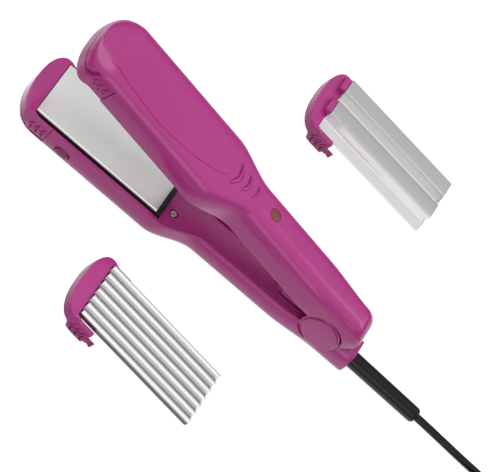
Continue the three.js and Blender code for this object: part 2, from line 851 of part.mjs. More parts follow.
const sideDrum = (side, radius, y0, y1, sides) =>
  drumAlongY(radius, Math.min(side * y0, side * y1), Math.max(side * y0, side * y1), 0, closingZ, sides);

function lowerHousing() {
  const ears = bothSides((side) => sideDrum(side, hingeDiscRadius, earInnerY, earOuterY, 36));
  return housingShell(lowerSection, lowerTailStations, [6, flangeRearX + gap])
    .subtract(drumAlongX(knuckleRadius + 1, -9, 9, 0, closingZ + 8, 8))
    .subtract(box(-hingeDiscRadius - 1, hingeDiscRadius + 1, -earInnerY, earInnerY, 16, 60))
    .subtract(bothSides((side) => sideDrum(side, hingeDiscRadius + gap, earOuterY, 40, 36)))
    .add(ears)
    .subtract(drumAlongY(pinRadius + pinPlay, -20, 20, 0, closingZ, 24))
    .subtract(bothSides((side) => sideDrum(side, 4.8, earOuterY - 0.9, 20, 24)))
    .subtract(drumAlongX(sleeveDiameter / 2 + gap, 2, collarRearX + 5, 0, sleeveZ, 24))
    .subtract(drumAlongX(sleeveDiameter / 2 + 1.4 + gap, 2, flangeRearX + gap, 0, sleeveZ, 24));
}

// The back of the upper arm: a low raised panel over the head, and three moons behind it.
const panelProud = 0.6;
const panelRearX = headRearX + 8.5;
// Edge of the panel: how far along it from the nose, and how far out in half widths of the head.
const panelEdge = [
  [0.046, 0.38],
  [0.089, 0.54],
  [0.182, 0.63],
  [0.337, 0.71],
  [0.539, 0.745],
  [0.733, 0.64],
  [0.872, 0.475],
  [0.957, 0.3],
  [0.993, 0.12],
];
const moonX = headRearX + 15.4;
const moonSpacing = 8.2;

function upperBack() {
  const lift = loft(
    [noseX + 6, ...frontStations.filter((x) => x > noseX + 9 && x < -80)].map((x) => {
      const s = upperSection(x);
      s.rimZ = s.beamZ - 1;
      return ringAt(x, s, -panelProud);
    }),
  );
  const edge = panelEdge.map(([u, v]) => new THREE.Vector2(mix(noseX, panelRearX, u), v * headHalf));
  const nearEdge = [...edge].reverse().map((p) => new THREE.Vector2(p.x, -p.y));
  const panel = new THREE.Shape(new THREE.SplineCurve([...edge, ...nearEdge]).getPoints(30));
  const moons = [14, 11.4, 9.4].map((height, i) => moon(moonX + i * moonSpacing, 0, height, 2.4));
  return moons
    .map((shape) => prismAlongZ(shape, -20, -2.2, 3))
    .reduce((a, b) => a.add(b), prismAlongZ(panel, -20, 0, 1))
    .intersect(lift);
}

// Room in the upper arm for the ears and discs of the lower one.
function earRoom() {
  return bothSides((side) => sideDrum(side, hingeDiscRadius + discMargin, earInnerY - 0.4, 40, 36));
}

function upperHousing() {
  const lobe = new THREE.Shape();
  lobe.absarc(0, closingZ, knuckleRadius, 0, Math.PI, false);
  lobe.lineTo(-knuckleRadius - 1, 1.5);
  lobe.lineTo(knuckleRadius + 1, 1.5);
  const room = armBody(upperSection, upperTailStations).add(box(-20, 20, -12, 12, gripBeamZ, 60));
  const lobes = bothSides((side) => {
    const y0 = side * knuckleInnerY;
    const y1 = side * (earInnerY - 0.4);
    return prismAlongY(lobe, Math.min(y0, y1), Math.max(y0, y1), 16);
  }).intersect(room);
  const open = box(-hingeDiscRadius - 2, hingeDiscRadius + 2, -earInnerY - 1, earInnerY + 1, 12, 60);
  return housingShell(upperSection, upperTailStations, [6, 12, 17])
    .add(upperBack())
    .subtract(open)
    .subtract(earRoom())
    .add(lobes)
    .subtract(drumAlongY(pinRadius + pinPlay, -20, 20, 0, closingZ, 24))
    .subtract(drumAlongZ(lensRadius + gap, lensBackZ - 5, lensBackZ + 5, lensX, 0, 24))
    .add(boardPosts());
}

// ---- indicator ----
const lensFlangeRadius = lensRadius + 1.3;
const lensProud = 0.3;
const lensSeat = 0.8; // the round flange clears the curved wall by this much
const lensBackZ = upperSection(lensX).floorZ; // outer face of the grip at the lens
const boardZ = lensBackZ + 6.6;
const boardThickness = 1.2;
const postX = 7.8; // from the lens to each post

function indicatorLens() {
  const profile = [
    [0, wall + lensSeat + 0.8],
    [lensFlangeRadius, wall + lensSeat + 0.8],
    [lensFlangeRadius, wall + lensSeat],
    [lensRadius, wall + lensSeat],
    [lensRadius, 0.2],
    [lensRadius * 0.8, -lensProud * 0.7],
    [0, -lensProud],
  ].map(([r, h]) => new THREE.Vector2(r, -h));
  const lens = new THREE.LatheGeometry(profile, 24).rotateX(-Math.PI / 2);
  return solidOf(lens.translate(lensX, 0, lensBackZ));
}

function boardPosts() {
  return bothSides((side) => drumAlongZ(1.6, lensBackZ + 1.4, boardZ - gap, lensX + side * postX, 0, 12));
}

function indicatorBoard() {
  return box(lensX - postX - 2, lensX + postX + 2, -5, 5, boardZ, boardZ + boardThickness)
    .add(drumAlongZ(1.5, lensBackZ + wall + lensSeat + 0.8 + gap, boardZ + 0.5, lensX, 0, 12));
}

// ---- hinge parts ----
function hingeDisc(side) {
  const reach = discOuterY - discInnerY;
  const profile = [
    [0, -0.8],
    [4.4, -0.8],
    [4.4, 0],
    [hingeDiscRadius, 0],
    [hingeDiscRadius, reach - 0.5],
    [hingeDiscRadius - 0.5, reach],
    [hingeDiscRadius - 2.2, reach],
    [hingeDiscRadius - 2.6, reach - 0.3],
    [0, reach - 0.3],
  ].map(([r, h]) => new THREE.Vector2(r, h));
  const disc = new THREE.LatheGeometry(profile, 32);
  if (side < 0) disc.rotateX(Math.PI);
  return solidOf(disc.translate(0, side * discInnerY, closingZ));
}

// A closed tube along points, its sides kept in line from ring to ring.
function tube(points, radius, sides, floor = -Infinity) {
  const rings = points.map((point, i) => {
    const ahead = points[Math.min(points.length - 1, i + 1)];
    const behind = points[Math.max(0, i - 1)];
    const way = new THREE.Vector3().subVectors(ahead, behind).normalize();
    const across = new THREE.Vector3(-way.y, way.x, 0).normalize();
    const up = new THREE.Vector3().crossVectors(way, across);
    return Array.from({ length: sides }, (_, j) => {
      const angle = ((j + 0.5) / sides) * 2 * Math.PI;
      const corner = point
        .clone()
        .addScaledVector(across, radius * Math.cos(angle))
        .addScaledVector(up, radius * Math.sin(angle));
      corner.z = Math.max(corner.z, floor);
      return corner;
    });
  });
  return loft(rings);
}

const springRadius = 4.1;
const springWire = 0.55; // wire radius
const springTurns = 4;

function openingSpring() {
  const points = [];
  const steps = springTurns * 10;
  const pitch = 1.5;
  const start = -springTurns * 0.5 * pitch;
  // both legs point towards the tip, one along each arm
  points.push([-9.6, start, -4.9], [-5, start, -4.4]);
  for (let i = 0; i <= steps; i++) {
    const angle = -Math.PI / 2 - (i / 10) * 2 * Math.PI;
    points.push([
      springRadius * Math.cos(angle),
      start + (i / 10) * pitch,
      springRadius * Math.sin(angle),
    ]);
  }
  points.push([-5, -start, -4], [-9.6, -start, -3.4]);
  const path = points.map(([x, y, z]) => new THREE.Vector3(x, z, y));
  const made = tube(path, springWire, 5);
  return solidOf(
    geometryOf(made).applyMatrix4(new THREE.Matrix4().makeRotationX(Math.PI / 2)).translate(0, 0, closingZ),
  );
}

// ---- release button ----
function releaseButton() {
  const outline = stadium(buttonLength, buttonHeight, buttonX, buttonZ);
  const crown = stadium(buttonLength - 1.2, buttonHeight - 1.2, buttonX, buttonZ);
  const flange = stadium(buttonLength + 3, buttonHeight + 1.4, buttonX, buttonZ);
  const faceY = -headHalf - 0.8;
  return prismAlongY(outline, faceY + 0.5, -footCavityHalf + 1, 6)
    .add(prismAlongY(crown, faceY, faceY + 0.6, 6))
    .add(prismAlongY(flange, -footCavityHalf + gap, -footCavityHalf + gap + buttonFlange, 6));
}

// ---- lead, strain relief and plug ----
const sleeveRadius = sleeveDiameter / 2;
const cordRadius = cordDiameter / 2;
const sleeveWay = new THREE.Vector3(Math.cos(sleeveDroop), 0, -Math.sin(sleeveDroop));
const sleeveEnd = new THREE.Vector3(collarRearX, 0, sleeveZ).addScaledVector(sleeveWay, sleeveLength);

const flangeFrontX = 7.2;
const flangeRearX = 9.2;

// The sleeve is straight in the collar and droops behind it, with a flange inside and a bevel at its end.
function strainRelief() {
  const rings = [];
  const ring = (middle, way, radius) => {
    const up = new THREE.Vector3().crossVectors(way, new THREE.Vector3(0, 1, 0)).negate();
    rings.push(
      Array.from({ length: 24 }, (_, j) => {
        const angle = (j / 24) * 2 * Math.PI;
        return middle
          .clone()
          .addScaledVector(new THREE.Vector3(0, 1, 0), radius * Math.cos(angle))
          .addScaledVector(up, radius * Math.sin(angle));
      }),
    );
  };
  const straight = new THREE.Vector3(1, 0, 0);
  const at = (x) => new THREE.Vector3(x, 0, sleeveZ);
  ring(at(flangeFrontX), straight, sleeveRadius + 1.4);
  ring(at(flangeRearX), straight, sleeveRadius + 1.4);
  ring(at(flangeRearX), straight, sleeveRadius);
  ring(at(collarRearX - 2), straight, sleeveRadius);
  const along = (t) => at(collarRearX).addScaledVector(sleeveWay, t);
  ring(along(2), sleeveWay, sleeveRadius);
  ring(along(sleeveLength - 3), sleeveWay, sleeveRadius);
  ring(along(sleeveLength - 1.2), sleeveWay, sleeveRadius - 0.6);
  ring(along(sleeveLength), sleeveWay, sleeveRadius - 1.9);
  return loft(rings);
}

// Straight lead inside an arm.
function innerLead(x0, x1, z) {
  return drumAlongX(wireRadius, x0, x1, 0, z, 12);
}

// The lead leaves the sleeve, sinks to the table and runs into the coil.
const coilLowZ = cordRadius * 0.8 + tieThickness + gap;
const leadEnd = new THREE.Vector3(coilStartX - cordDiameter, 0, coilLowZ);

function freeLeadCurve() {
  const start = sleeveEnd.clone().addScaledVector(sleeveWay, gap);
  return new THREE.CubicBezierCurve3(
    start,
    start.clone().addScaledVector(sleeveWay, 26),
    new THREE.Vector3(leadEnd.x - 34, 0, coilLowZ - 0.1),
    leadEnd,
  );
}

function freeLead() {
  const circle = new THREE.Shape(
    Array.from({ length: 10 }, (_, j) => {
      const angle = ((j + 0.5) / 10) * 2 * Math.PI;
      return new THREE.Vector2(cordRadius * Math.cos(angle), cordRadius * Math.sin(angle));
    }),
  );
  const way = { steps: 8, bevelEnabled: false, extrudePath: freeLeadCurve() };
  return solidOf(new THREE.ExtrudeGeometry(circle, way));
}

// The coil winds inwards on the table, climbs a layer in the half turn where it reverses, and winds outwards.
const coilSteps = 22; // per turn
const coilLength = cordLength - freeLeadCurve().getLength() - cordDiameter - coilTail;
const coilMeanRadius = coilLength / (2 * Math.PI * coilTurns);
const coilOuterRadius = coilMeanRadius + (coilPitch * coilTurns) / 4;
const coilMiddle = new THREE.Vector2(coilStartX, -coilOuterRadius);

function coilPoint(turn) {
  const inward = Math.min(turn, coilTurns - turn);
  const radius = coilOuterRadius - coilPitch * inward;
  const angle = Math.PI / 2 - turn * 2 * Math.PI;
  const climb = between(turn, coilTurns / 2 - 0.5, coilTurns / 2 + 0.5);
  return new THREE.Vector3(
    coilMiddle.x + radius * Math.cos(angle),
    coilMiddle.y + radius * Math.sin(angle),
    coilLowZ + coilPitch * climb,
  );
}

function coilPath() {
  const count = Math.round(coilTurns * coilSteps);
  const points = Array.from({ length: count + 1 }, (_, i) => coilPoint((i / count) * coilTurns));
  const first = points[0].clone();
  const last = points[count].clone();
  first.x -= cordDiameter - gap;
  last.x -= coilTail;
  return [first, ...points, last];
}

// Least distance between stretches of the coil that are more than a third of a turn apart.
function leastCoilGap(points) {
  const apart = Math.round(coilSteps / 3);
  let least = Infinity;
  points.forEach((p, i) => {
    for (const q of points.slice(i + apart)) least = Math.min(least, p.distanceTo(q));
  });
  return least - cordDiameter;
}

function cordTie() {
  const inner = coilOuterRadius - (coilPitch * coilTurns) / 2 - cordRadius - gap;
  const outer = coilOuterRadius + cordRadius + gap;
  const top = coilLowZ + coilPitch + cordRadius + gap;
  const low = coilLowZ - cordRadius * 0.8 - gap;
  const x0 = coilMiddle.x + inner;
  const x1 = coilMiddle.x + outer;
  const y = coilMiddle.y;
  const t = tieThickness;
  return box(x0 - t, x1 + t, y - tieWidth / 2, y + tieWidth / 2, low - t, top + t)
    .subtract(box(x0, x1, y - tieWidth, y + tieWidth, low, top));
}

const plugZ = coilLowZ + coilPitch;
const plugHalfHeight = plugZ - 0.1;
const plugRearX = coilStartX - coilTail - gap;
const plugFrontX = plugRearX - plugLength;
const plugY = -2 * coilOuterRadius;
const bladeInset = 6;

// The plug's grip swells towards the blades; each end is a rounded rectangle.
function plugBody() {
  const rings = [
    [0, 5.2, 5.2],
    [5, 6, 5.8],
    [11, 8, 7],
    [18, plugWidth / 2 - 1.5, plugHalfHeight - 0.8],
    [25, plugWidth / 2, plugHalfHeight],
    [plugLength - 1.5, plugWidth / 2, plugHalfHeight],
    [plugLength, plugWidth / 2 - 1.2, plugHalfHeight - 1.2],
  ].map(([along, halfY, halfZ]) =>
    Array.from({ length: 24 }, (_, j) => {
      const angle = (j / 24) * 2 * Math.PI;
      const c = Math.cos(angle);
      const d = Math.sin(angle);
      return new THREE.Vector3(
        plugRearX - along,
        plugY + halfY * Math.sign(c) * Math.sqrt(Math.abs(c)),
        plugZ + halfZ * Math.sign(d) * Math.sqrt(Math.abs(d)),
      );
    }),
  );
  return [-1, 1].reduce(
    (body, side) =>
      body.subtract(
        box(
          plugFrontX - 1,
          plugFrontX + bladeInset,
          plugY + (side * bladeSpacing) / 2 - bladeThickness / 2 - gap,
          plugY + (side * bladeSpacing) / 2 + bladeThickness / 2 + gap,
          plugZ - bladeWidth / 2 - gap,
          plugZ + bladeWidth / 2 + gap,
        ),
      ),
    loft(rings),
  );
}

function plugBlade(side) {
  const y = plugY + (side * bladeSpacing) / 2;
  const x0 = plugFrontX - bladeLength;
  const blade = new THREE.Shape();
  const half = bladeWidth / 2;
  blade.moveTo(plugFrontX + bladeInset - gap, plugZ - half);
  blade.lineTo(plugFrontX + bladeInset - gap, plugZ + half);
  blade.lineTo(x0 + 1.6, plugZ + half);
  blade.lineTo(x0, plugZ + half - 1.6);
  blade.lineTo(x0, plugZ - half + 1.6);
  blade.lineTo(x0 + 1.6, plugZ - half);
  return prismAlongY(blade, y - bladeThickness / 2, y + bladeThickness / 2).subtract(
    drumAlongY(1.5, y - 3, y + 3, x0 + 4.5, plugZ, 12),
  );
}

// ---- build ----
const lowerArm = new THREE.Group();
object.add(lowerArm);

const openArm = new THREE.Group();
openArm.position.z = closingZ;
openArm.rotation.y = openAngle;
const turnedOver = new THREE.Group();
turnedOver.rotation.x = Math.PI;
const upperArm = new THREE.Group();
upperArm.position.z = -closingZ;
turnedOver.add(upperArm);
openArm.add(turnedOver);
object.add(openArm);

const cap = capSolid(lowerSection);

function addArm(prefix, group, housing, cover, sectionAt, capForm) {
  piece(prefix + "_housing", "shell", housing, group);
  piece(prefix + "_handle_cover", "shellInner", cover, group);
  piece(prefix + "_plate_carrier", "carrier", carrierSolid(), group);
  piece(prefix + "_heat_block", "heatBlock", heatBlockSolid(), group);
  piece(prefix + "_heater", "ceramic", heaterSolid(), group);
  piece(prefix + "_insulation_pad", "ceramic", insulationPad(), group);
  piece(prefix + "_thermal_fuse", "steel", thermalFuse(), group);
  piece(prefix + "_release_button", "shell", releaseButton(), group);
  piece(prefix + "_tip_cap", "shell", capForm, group);
  piece(prefix + "_flat_plate", "plate", flatPlate(), group);
  for (const [word, side] of [
    ["left", -1],
    ["right", 1],
  ]) {
    const seat = sectionAt(screwX).rimZ - coverSink - screwSink + gap;
    piece(prefix + "_cover_screw_" + word, "steel", panScrew(screwX, side * screwY, seat, 10), group);
  }
}

const lowerCover = coverSolid(lowerSection).add(wellRim()).subtract(sliderWell());
addArm("lower", lowerArm, lowerHousing(), lowerCover, lowerSection, cap);
const upperCover = coverSolid(upperSection).subtract(earRoom());
addArm("upper", upperArm, upperHousing(), upperCover, upperSection, capSolid(upperSection));

const leadStartX = carrierRearX - 2;
piece("lower_heater_lead", "rubber", innerLead(leadStartX, switchFrontX - gap, wireZ), lowerArm);
piece("upper_heater_lead", "rubber", innerLead(leadStartX, -14, wireZ), upperArm);
piece("supply_lead", "rubber", innerLead(switchRearX + gap, flangeFrontX - gap, sleeveZ), lowerArm);
piece("power_slider", "shell", powerSlider(), lowerArm);
piece("power_switch", "carrier", powerSwitch(), lowerArm);
piece("indicator_lens", "lens", indicatorLens(), upperArm);
piece("indicator_board", "ceramic", indicatorBoard(), upperArm);

const pinHalf = earOuterY - 1.2;
piece("hinge_pin", "steel", drumAlongY(pinRadius, -pinHalf, pinHalf, 0, closingZ, 24), lowerArm);
piece("hinge_disc_near", "shell", hingeDisc(-1), lowerArm);
piece("hinge_disc_far", "shell", hingeDisc(1), lowerArm);
piece("opening_spring", "steel", openingSpring(), lowerArm);

// A loose unit lies with the lower corners of its wings and the far end of its plate on the table.
function addLooseUnit(prefix, outline, capForm, [x, y]) {
  const wingX = seamX - gap / 2;
  const plateLowZ = Math.min(...outline.map((corner) => corner[1]));
  const tilt = Math.atan2(plateLowZ - wingLowZ, plateRearX - wingX);
  const unit = new THREE.Group();
  const middle = (plateFrontX + plateRearX) / 2;
  unit.rotation.y = tilt;
  unit.position.set(
    x - middle * Math.cos(tilt) - plateTopZ * Math.sin(tilt),
    y,
    wingX * Math.sin(tilt) - wingLowZ * Math.cos(tilt),
  );
  piece(prefix + "_tip_cap", "shell", capForm, unit);
  piece(prefix + "_plate", "plate", prismAlongX(shapeOf(outline), plateFrontX, plateRearX), unit);
  object.add(unit);
}

addLooseUnit("crimp", sheetOutline(crimpProfile()), cap, crimpUnitPlace);
addLooseUnit("waver", sheetOutline(waverProfile()), waverCap(), waverUnitPlace);

piece("strain_relief", "rubber", strainRelief(), lowerArm);
piece("lead", "rubber", freeLead(), lowerArm);
const coil = coilPath();
console.log("least gap of the coil to itself: " + leastCoilGap(coil).toFixed(2) + " mm");
piece("lead_coil", "rubber", tube(coil, cordRadius, 6, coilLowZ - cordRadius * 0.8), lowerArm);
piece("lead_tie", "rubber", cordTie(), lowerArm);
piece("plug", "rubber", plugBody(), lowerArm);
piece("plug_blade_left", "brass", plugBlade(-1), lowerArm);
piece("plug_blade_right", "brass", plugBlade(1), lowerArm);

export default object;
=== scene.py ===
# A magenta hair crimper that lies open on its lower arm, with two loose attachments and its lead in a coil.
import math
import bmesh
import bpy
from mathutils import Matrix, Vector


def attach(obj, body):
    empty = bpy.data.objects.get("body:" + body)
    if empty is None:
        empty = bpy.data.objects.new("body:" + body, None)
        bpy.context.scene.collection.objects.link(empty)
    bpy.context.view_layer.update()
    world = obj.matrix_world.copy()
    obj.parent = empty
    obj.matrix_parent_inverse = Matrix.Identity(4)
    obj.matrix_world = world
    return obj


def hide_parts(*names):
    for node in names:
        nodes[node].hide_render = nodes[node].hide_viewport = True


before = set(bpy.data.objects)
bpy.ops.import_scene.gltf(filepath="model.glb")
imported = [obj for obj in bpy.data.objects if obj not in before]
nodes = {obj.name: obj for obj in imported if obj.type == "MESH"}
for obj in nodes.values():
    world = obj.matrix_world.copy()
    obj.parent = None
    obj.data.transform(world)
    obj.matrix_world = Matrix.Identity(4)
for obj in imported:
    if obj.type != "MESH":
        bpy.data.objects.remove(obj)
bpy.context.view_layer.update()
mm = 0.001

camera = {
    "place": (-0.43164, -1.5446, 1.97004),
    "turn": (27.505, -29.36, 30.454),  # degrees about X, Y and Z
    "lens": 264.85,
    "sensor": 36,
    "clip": (0.1, 20),
}


def added(name, data):  # a new object in the scene
    obj = bpy.data.objects.new(name, data)
    bpy.context.scene.collection.objects.link(obj)
    return obj


def makeCamera():
    data = bpy.data.cameras.new("camera")
    data.lens, data.sensor_width = camera["lens"], camera["sensor"]
    data.clip_start, data.clip_end = camera["clip"]
    obj = added("camera", data)
    obj.location = camera["place"]
    obj.rotation_euler = [math.radians(a) for a in camera["turn"]]
    bpy.context.scene.camera = obj


makeCamera()
print("camera placed")


class Wire:  # a shader socket that takes part in sums
    def __init__(self, tree, socket):
        self.tree, self.socket = tree, socket

    def math(self, operation, other, turned=False):
        a, b = (other, self) if turned else (self, other)
        return self.tree.node("ShaderNodeMath", {"operation": operation}, {0: a, 1: b})

    def __add__(self, other):
        return self.math("ADD", other)

    def __radd__(self, other):
        return self.math("ADD", other, True)

    def __sub__(self, other):
        return self.math("SUBTRACT", other)

    def __rsub__(self, other):
        return self.math("SUBTRACT", other, True)

    def __mul__(self, other):
        return self.math("MULTIPLY", other)

    def __rmul__(self, other):
        return self.math("MULTIPLY", other, True)


def setStops(ramp, shades):  # grey shades and their positions on a colour ramp
    stops = ramp.color_ramp.elements
    for i, (position, shade) in enumerate(shades):
        stop = stops[i] if i < len(stops) else stops.new(position)
        stop.position, stop.color = position, (shade, shade, shade, 1)


class Finish:  # one material and the nodes in it
    def __init__(self, name):
        self.material = bpy.data.materials.new(name)
        self.material.use_nodes = True
        self.nodes = self.material.node_tree.nodes
        self.links = self.material.node_tree.links
        self.nodes.clear()
        self.place = self.node("ShaderNodeTexCoord", {}, {}, "Object")

    def node(self, kind, settings=None, inputs=None, output=0):
        made = self.nodes.new(kind)
        for key, value in (settings or {}).items():
            if key == "stops":
                setStops(made, value)
            else:
                setattr(made, key, value)
        for key, value in (inputs or {}).items():
            if isinstance(value, Wire):
                self.links.new(value.socket, made.inputs[key])
            else:
                made.inputs[key].default_value = value
        return Wire(self, made.outputs[output])

    def noise(self, scale, detail=3, stretch=None):
        place = self.place
        if stretch:
            place = self.node("ShaderNodeMapping", {}, {"Vector": place, "Scale": stretch})
        return self.node("ShaderNodeTexNoise", {}, {"Vector": place, "Scale": scale, "Detail": detail})

    def ramp(self, value, stops):
        return self.node("ShaderNodeValToRGB", {"stops": stops}, {"Fac": value})

    def blend(self, factor, a, b):
        return self.node("ShaderNodeMix", {"data_type": "RGBA"}, {"Factor": factor, 6: a, 7: b}, 2)

    def bump(self, height, depth, strength):
        return self.node("ShaderNodeBump", {}, {"Height": height, "Distance": depth, "Strength": strength})

    def surface(self, **inputs):
        values = {key.replace("_", " "): value for key, value in inputs.items()}
        return self.ended(self.node("ShaderNodeBsdfPrincipled", {}, values))

    def ended(self, shader):
        out = self.nodes.new("ShaderNodeOutputMaterial")
        self.links.new(shader.socket, out.inputs["Surface"])
        return self.material


def colour(r, g, b):  # screen values, 0 to 255, made linear
    return tuple(((c / 255 + 0.055) / 1.055) ** 2.4 if c > 10 else c / 255 / 12.92 for c in (r, g, b)) + (1,)


def shaded(shade, share):  # the same colour, lighter or darker
    return tuple(c * share for c in shade[:3]) + (1,)


plastic = {
    "pink": colour(188, 58, 142),
    "pinkDeep": colour(182, 50, 134),
    "gloss": 0.17,
    "innerGloss": 0.34,
    "handled": (34, 4),  # scale and detail of the marks of handling
    "cloud": (9, 2),  # of the slow change between the two pinks
    "dimples": (1500, 2),  # of the moulded skin
    "dimpleDepth": 0.00003,
    "streaks": (90, 900, 900),  # stretch of the fine rub marks
    "tones": ((0.35, 0), (0.65, 1)),  # how sharply the two pinks meet
    "rubbed": ((0.62, 0), (0.74, 1)),  # how few of the rub marks show
    "wear": (0.1, 0.05),  # what handling and rubbing do to the gloss
    "relief": 0.25,
}


def mouldedPink(name, gloss, pink=plastic["pink"], deep=plastic["pinkDeep"]):
    f = Finish(name)
    handled = f.noise(*plastic["handled"])
    cloud = f.noise(*plastic["cloud"])
    dimples = f.noise(*plastic["dimples"])
    streak = f.noise(1, stretch=plastic["streaks"])
    tone = f.ramp(cloud, plastic["tones"])
    rub = f.ramp(streak, plastic["rubbed"])
    handling, rubbing = plastic["wear"]
    return f.surface(
        Base_Color=f.blend(tone, pink, deep),
        Roughness=gloss - handling / 2 + handled * handling + rub * rubbing,
        Specular_IOR_Level=0.5,
        Normal=f.bump(dimples, plastic["dimpleDepth"], plastic["relief"]),
    )


metal = {
    "drawn": (20, 900, 20),  # stretch of the drawn grain
    "cloud": 16,
    "cloudDepth": 0.00002,
    "metallic": 0.8,
    "worn": 0.06,  # how much its roughness varies
    "relief": 0.1,
}


def satinMetal(name, shade, rough, low=None, fade=None):
    f = Finish(name)
    grain = f.noise(1, stretch=metal["drawn"])
    cloud = f.noise(metal["cloud"])
    tone = f.blend(grain, shade, shaded(shade, 0.97))
    if low:  # a painted tone at the foot of a shaped plate: painted shade in the crimping plate's valleys, a painted reflection on the waving plate's lower faces
        up, start, end = fade
        height = f.node("ShaderNodeVectorMath", {"operation": "DOT_PRODUCT"}, {0: f.place, 1: up}, "Value")
        tone = f.blend((height - start) * (1 / (end - start)), low, tone)
    return f.surface(
        Base_Color=tone,
        Metallic=metal["metallic"],
        Roughness=rough - 0.04 + cloud * metal["worn"] + grain * 0.02,
        Normal=f.bump(cloud, metal["cloudDepth"], metal["relief"]),
    )


matte = {
    "grain": 2600,
    "grainDepth": 0.00002,
    "cloud": 40,
    "shine": 0.5,
    "lighter": 1.5,  # how much the colour varies
    "worn": 0.12,  # and the roughness
    "relief": 0.3,
}


def grainedSkin(name, shade, rough, grain=matte["grain"], shine=matte["shine"]):
    f = Finish(name)
    fine = f.noise(grain)
    cloud = f.noise(matte["cloud"])
    return f.surface(
        Base_Color=f.blend(cloud, shade, shaded(shade, matte["lighter"])),
        Roughness=rough - matte["worn"] / 2 + cloud * matte["worn"],
        Specular_IOR_Level=shine,
        Normal=f.bump(fine, matte["grainDepth"], matte["relief"]),
    )


finishes = {
    "shell": mouldedPink("magenta shell", plastic["gloss"]),
    "inner_cover": mouldedPink("magenta inner cover", plastic["innerGloss"]),
    # The release buttons are painted dark: painted shade for the recess that they sit in.
    "button": mouldedPink("magenta button with painted recess shade", 0.3, colour(140, 22, 96), colour(128, 18, 86)),
    # The slider is painted paler than the shell: painted light against the shade of its well.
    "slider": mouldedPink("magenta slider with painted light", 0.25, colour(222, 98, 174), colour(214, 90, 166)),
    "plate": satinMetal("satin plate", colour(246, 246, 245), 0.3),
    "heat_block": satinMetal("cast aluminium", colour(170, 172, 174), 0.45),
    "steel": satinMetal("plated steel", colour(196, 198, 202), 0.26),
    "brass": satinMetal("nickelled brass", colour(206, 190, 150), 0.25),
    "carrier": grainedSkin("black heat-proof plastic", colour(24, 24, 26), 0.5),
    "lead": grainedSkin("black vinyl", colour(13, 13, 15), 0.24, 1800, 0.28),
    "ceramic": grainedSkin("white ceramic", colour(214, 208, 196), 0.7),
    "lens": grainedSkin("smoked red lens", colour(122, 58, 56), 0.3, 3200),
}
print("finishes made")

# The first word that a CAD node's name holds gives its finish; what has none of them is shell plastic.
finishWords = (
    ("plate_carrier", "carrier"), ("power_switch", "carrier"), ("heat_block", "heat_block"),
    ("heater_lead", "lead"), ("supply_lead", "lead"), ("heater", "ceramic"), ("pad", "ceramic"),
    ("board", "ceramic"), ("fuse", "steel"), ("screw", "steel"), ("pin", "steel"), ("spring", "steel"),
    ("blade", "brass"), ("lens", "lens"), ("lead", "lead"), ("plug", "lead"), ("relief", "lead"),
    ("handle_cover", "inner_cover"), ("plate", "plate"),
)


def finishOf(name):
    return next((slot for word, slot in finishWords if word in name), "shell")


for name, node in nodes.items():
    node.data.materials.clear()
    node.data.materials.append(finishes[finishOf(name)])
print("CAD pieces finished")

# The iron's sizes in mm. Each arm is drawn in its own frame, lying with its plate upwards.
iron = {
    "gap": 0.3,
    "closing": 25,  # height of the hinge axis and of the plane where the plates meet
    "plateGap": 0.4,  # between the closed plates
    "open": 13,  # degrees between the arms
    "plateRear": -140,
    "plateLength": 106,
    "plateHalf": 24,
    "headHalf": 29,
    "noseReach": 13.5,
    "wing": 17,
    "neck": 37,
    "gripHalf": 16.6,
    "tailHalf": 12.6,
    "headRim": 20,
    "gripRim": 20.5,
    "noseFace": 23,
    "gripBeam": 12,
    "floorTop": 5,
    "step": 16,  # height of the step that the plate carrier stands on
    "noseSeam": 13.5,
    "upperHeadDepth": 2.5,
    "upperGripDepth": 5.5,
    "tailRear": 23.5,
    "carrierTail": 4.4,
    "footInset": 6.4,  # from the head's side to the room below the step
    "boatInset": 3.6,  # from the head's side to the nose that the cap's wings pass
    "wireHeight": 10,
    "wireBore": 2.6,
    "wall": 2.4,
    "edge": 1.0,  # rounding of the rim
}
gap = iron["gap"]
axisZ = iron["closing"]
plateRear = iron["plateRear"]
plateFront = plateRear - iron["plateLength"]
plateHalf = iron["plateHalf"]
plateTop = axisZ - iron["plateGap"] / 2
headHalf = iron["headHalf"]
noseX = plateFront - iron["noseReach"]
seamX = plateFront + iron["wing"]
carrierHalf = plateHalf + gap
carrierRear = plateRear + iron["carrierTail"]
footHalf = headHalf - iron["footInset"]
boatHalf = headHalf - iron["boatInset"]
headRear = plateRear + 1
gripFront = headRear + iron["neck"]
wingLow = iron["floorTop"] + gap / 2

upperPlace = (
    Matrix.Translation((0, 0, axisZ))
    @ Matrix.Rotation(math.radians(iron["open"]), 4, "Y")
    @ Matrix.Rotation(math.pi, 4, "X")
    @ Matrix.Translation((0, 0, -axisZ))
)

loose = {  # where the loose attachments lie, and how many degrees they tilt on their wings and rear edges
    "crimp": ((97.248, -103.7, -42.946), 9.512),
    "waver": ((160.402, 157, -38.159), 8.296),
}


def laidDown(place, tilt):
    return Matrix.Translation(place) @ Matrix.Rotation(math.radians(tilt), 4, "Y")


crimpPlace = laidDown(*loose["crimp"])
waverPlace = laidDown(*loose["waver"])

cutter = {  # how far the cutting shapes reach
    "past": 5,  # past the side that they cut
    "top": 40,  # up, over the head
    "high": 60,  # up, over the hinge
}


def mixed(a, b, t):
    return a + (b - a) * t


def clamped(t):
    return min(1, max(0, t))


def eased(x, x0, x1):
    t = clamped((x - x0) / (x1 - x0))
    return t * t * (3 - 2 * t)


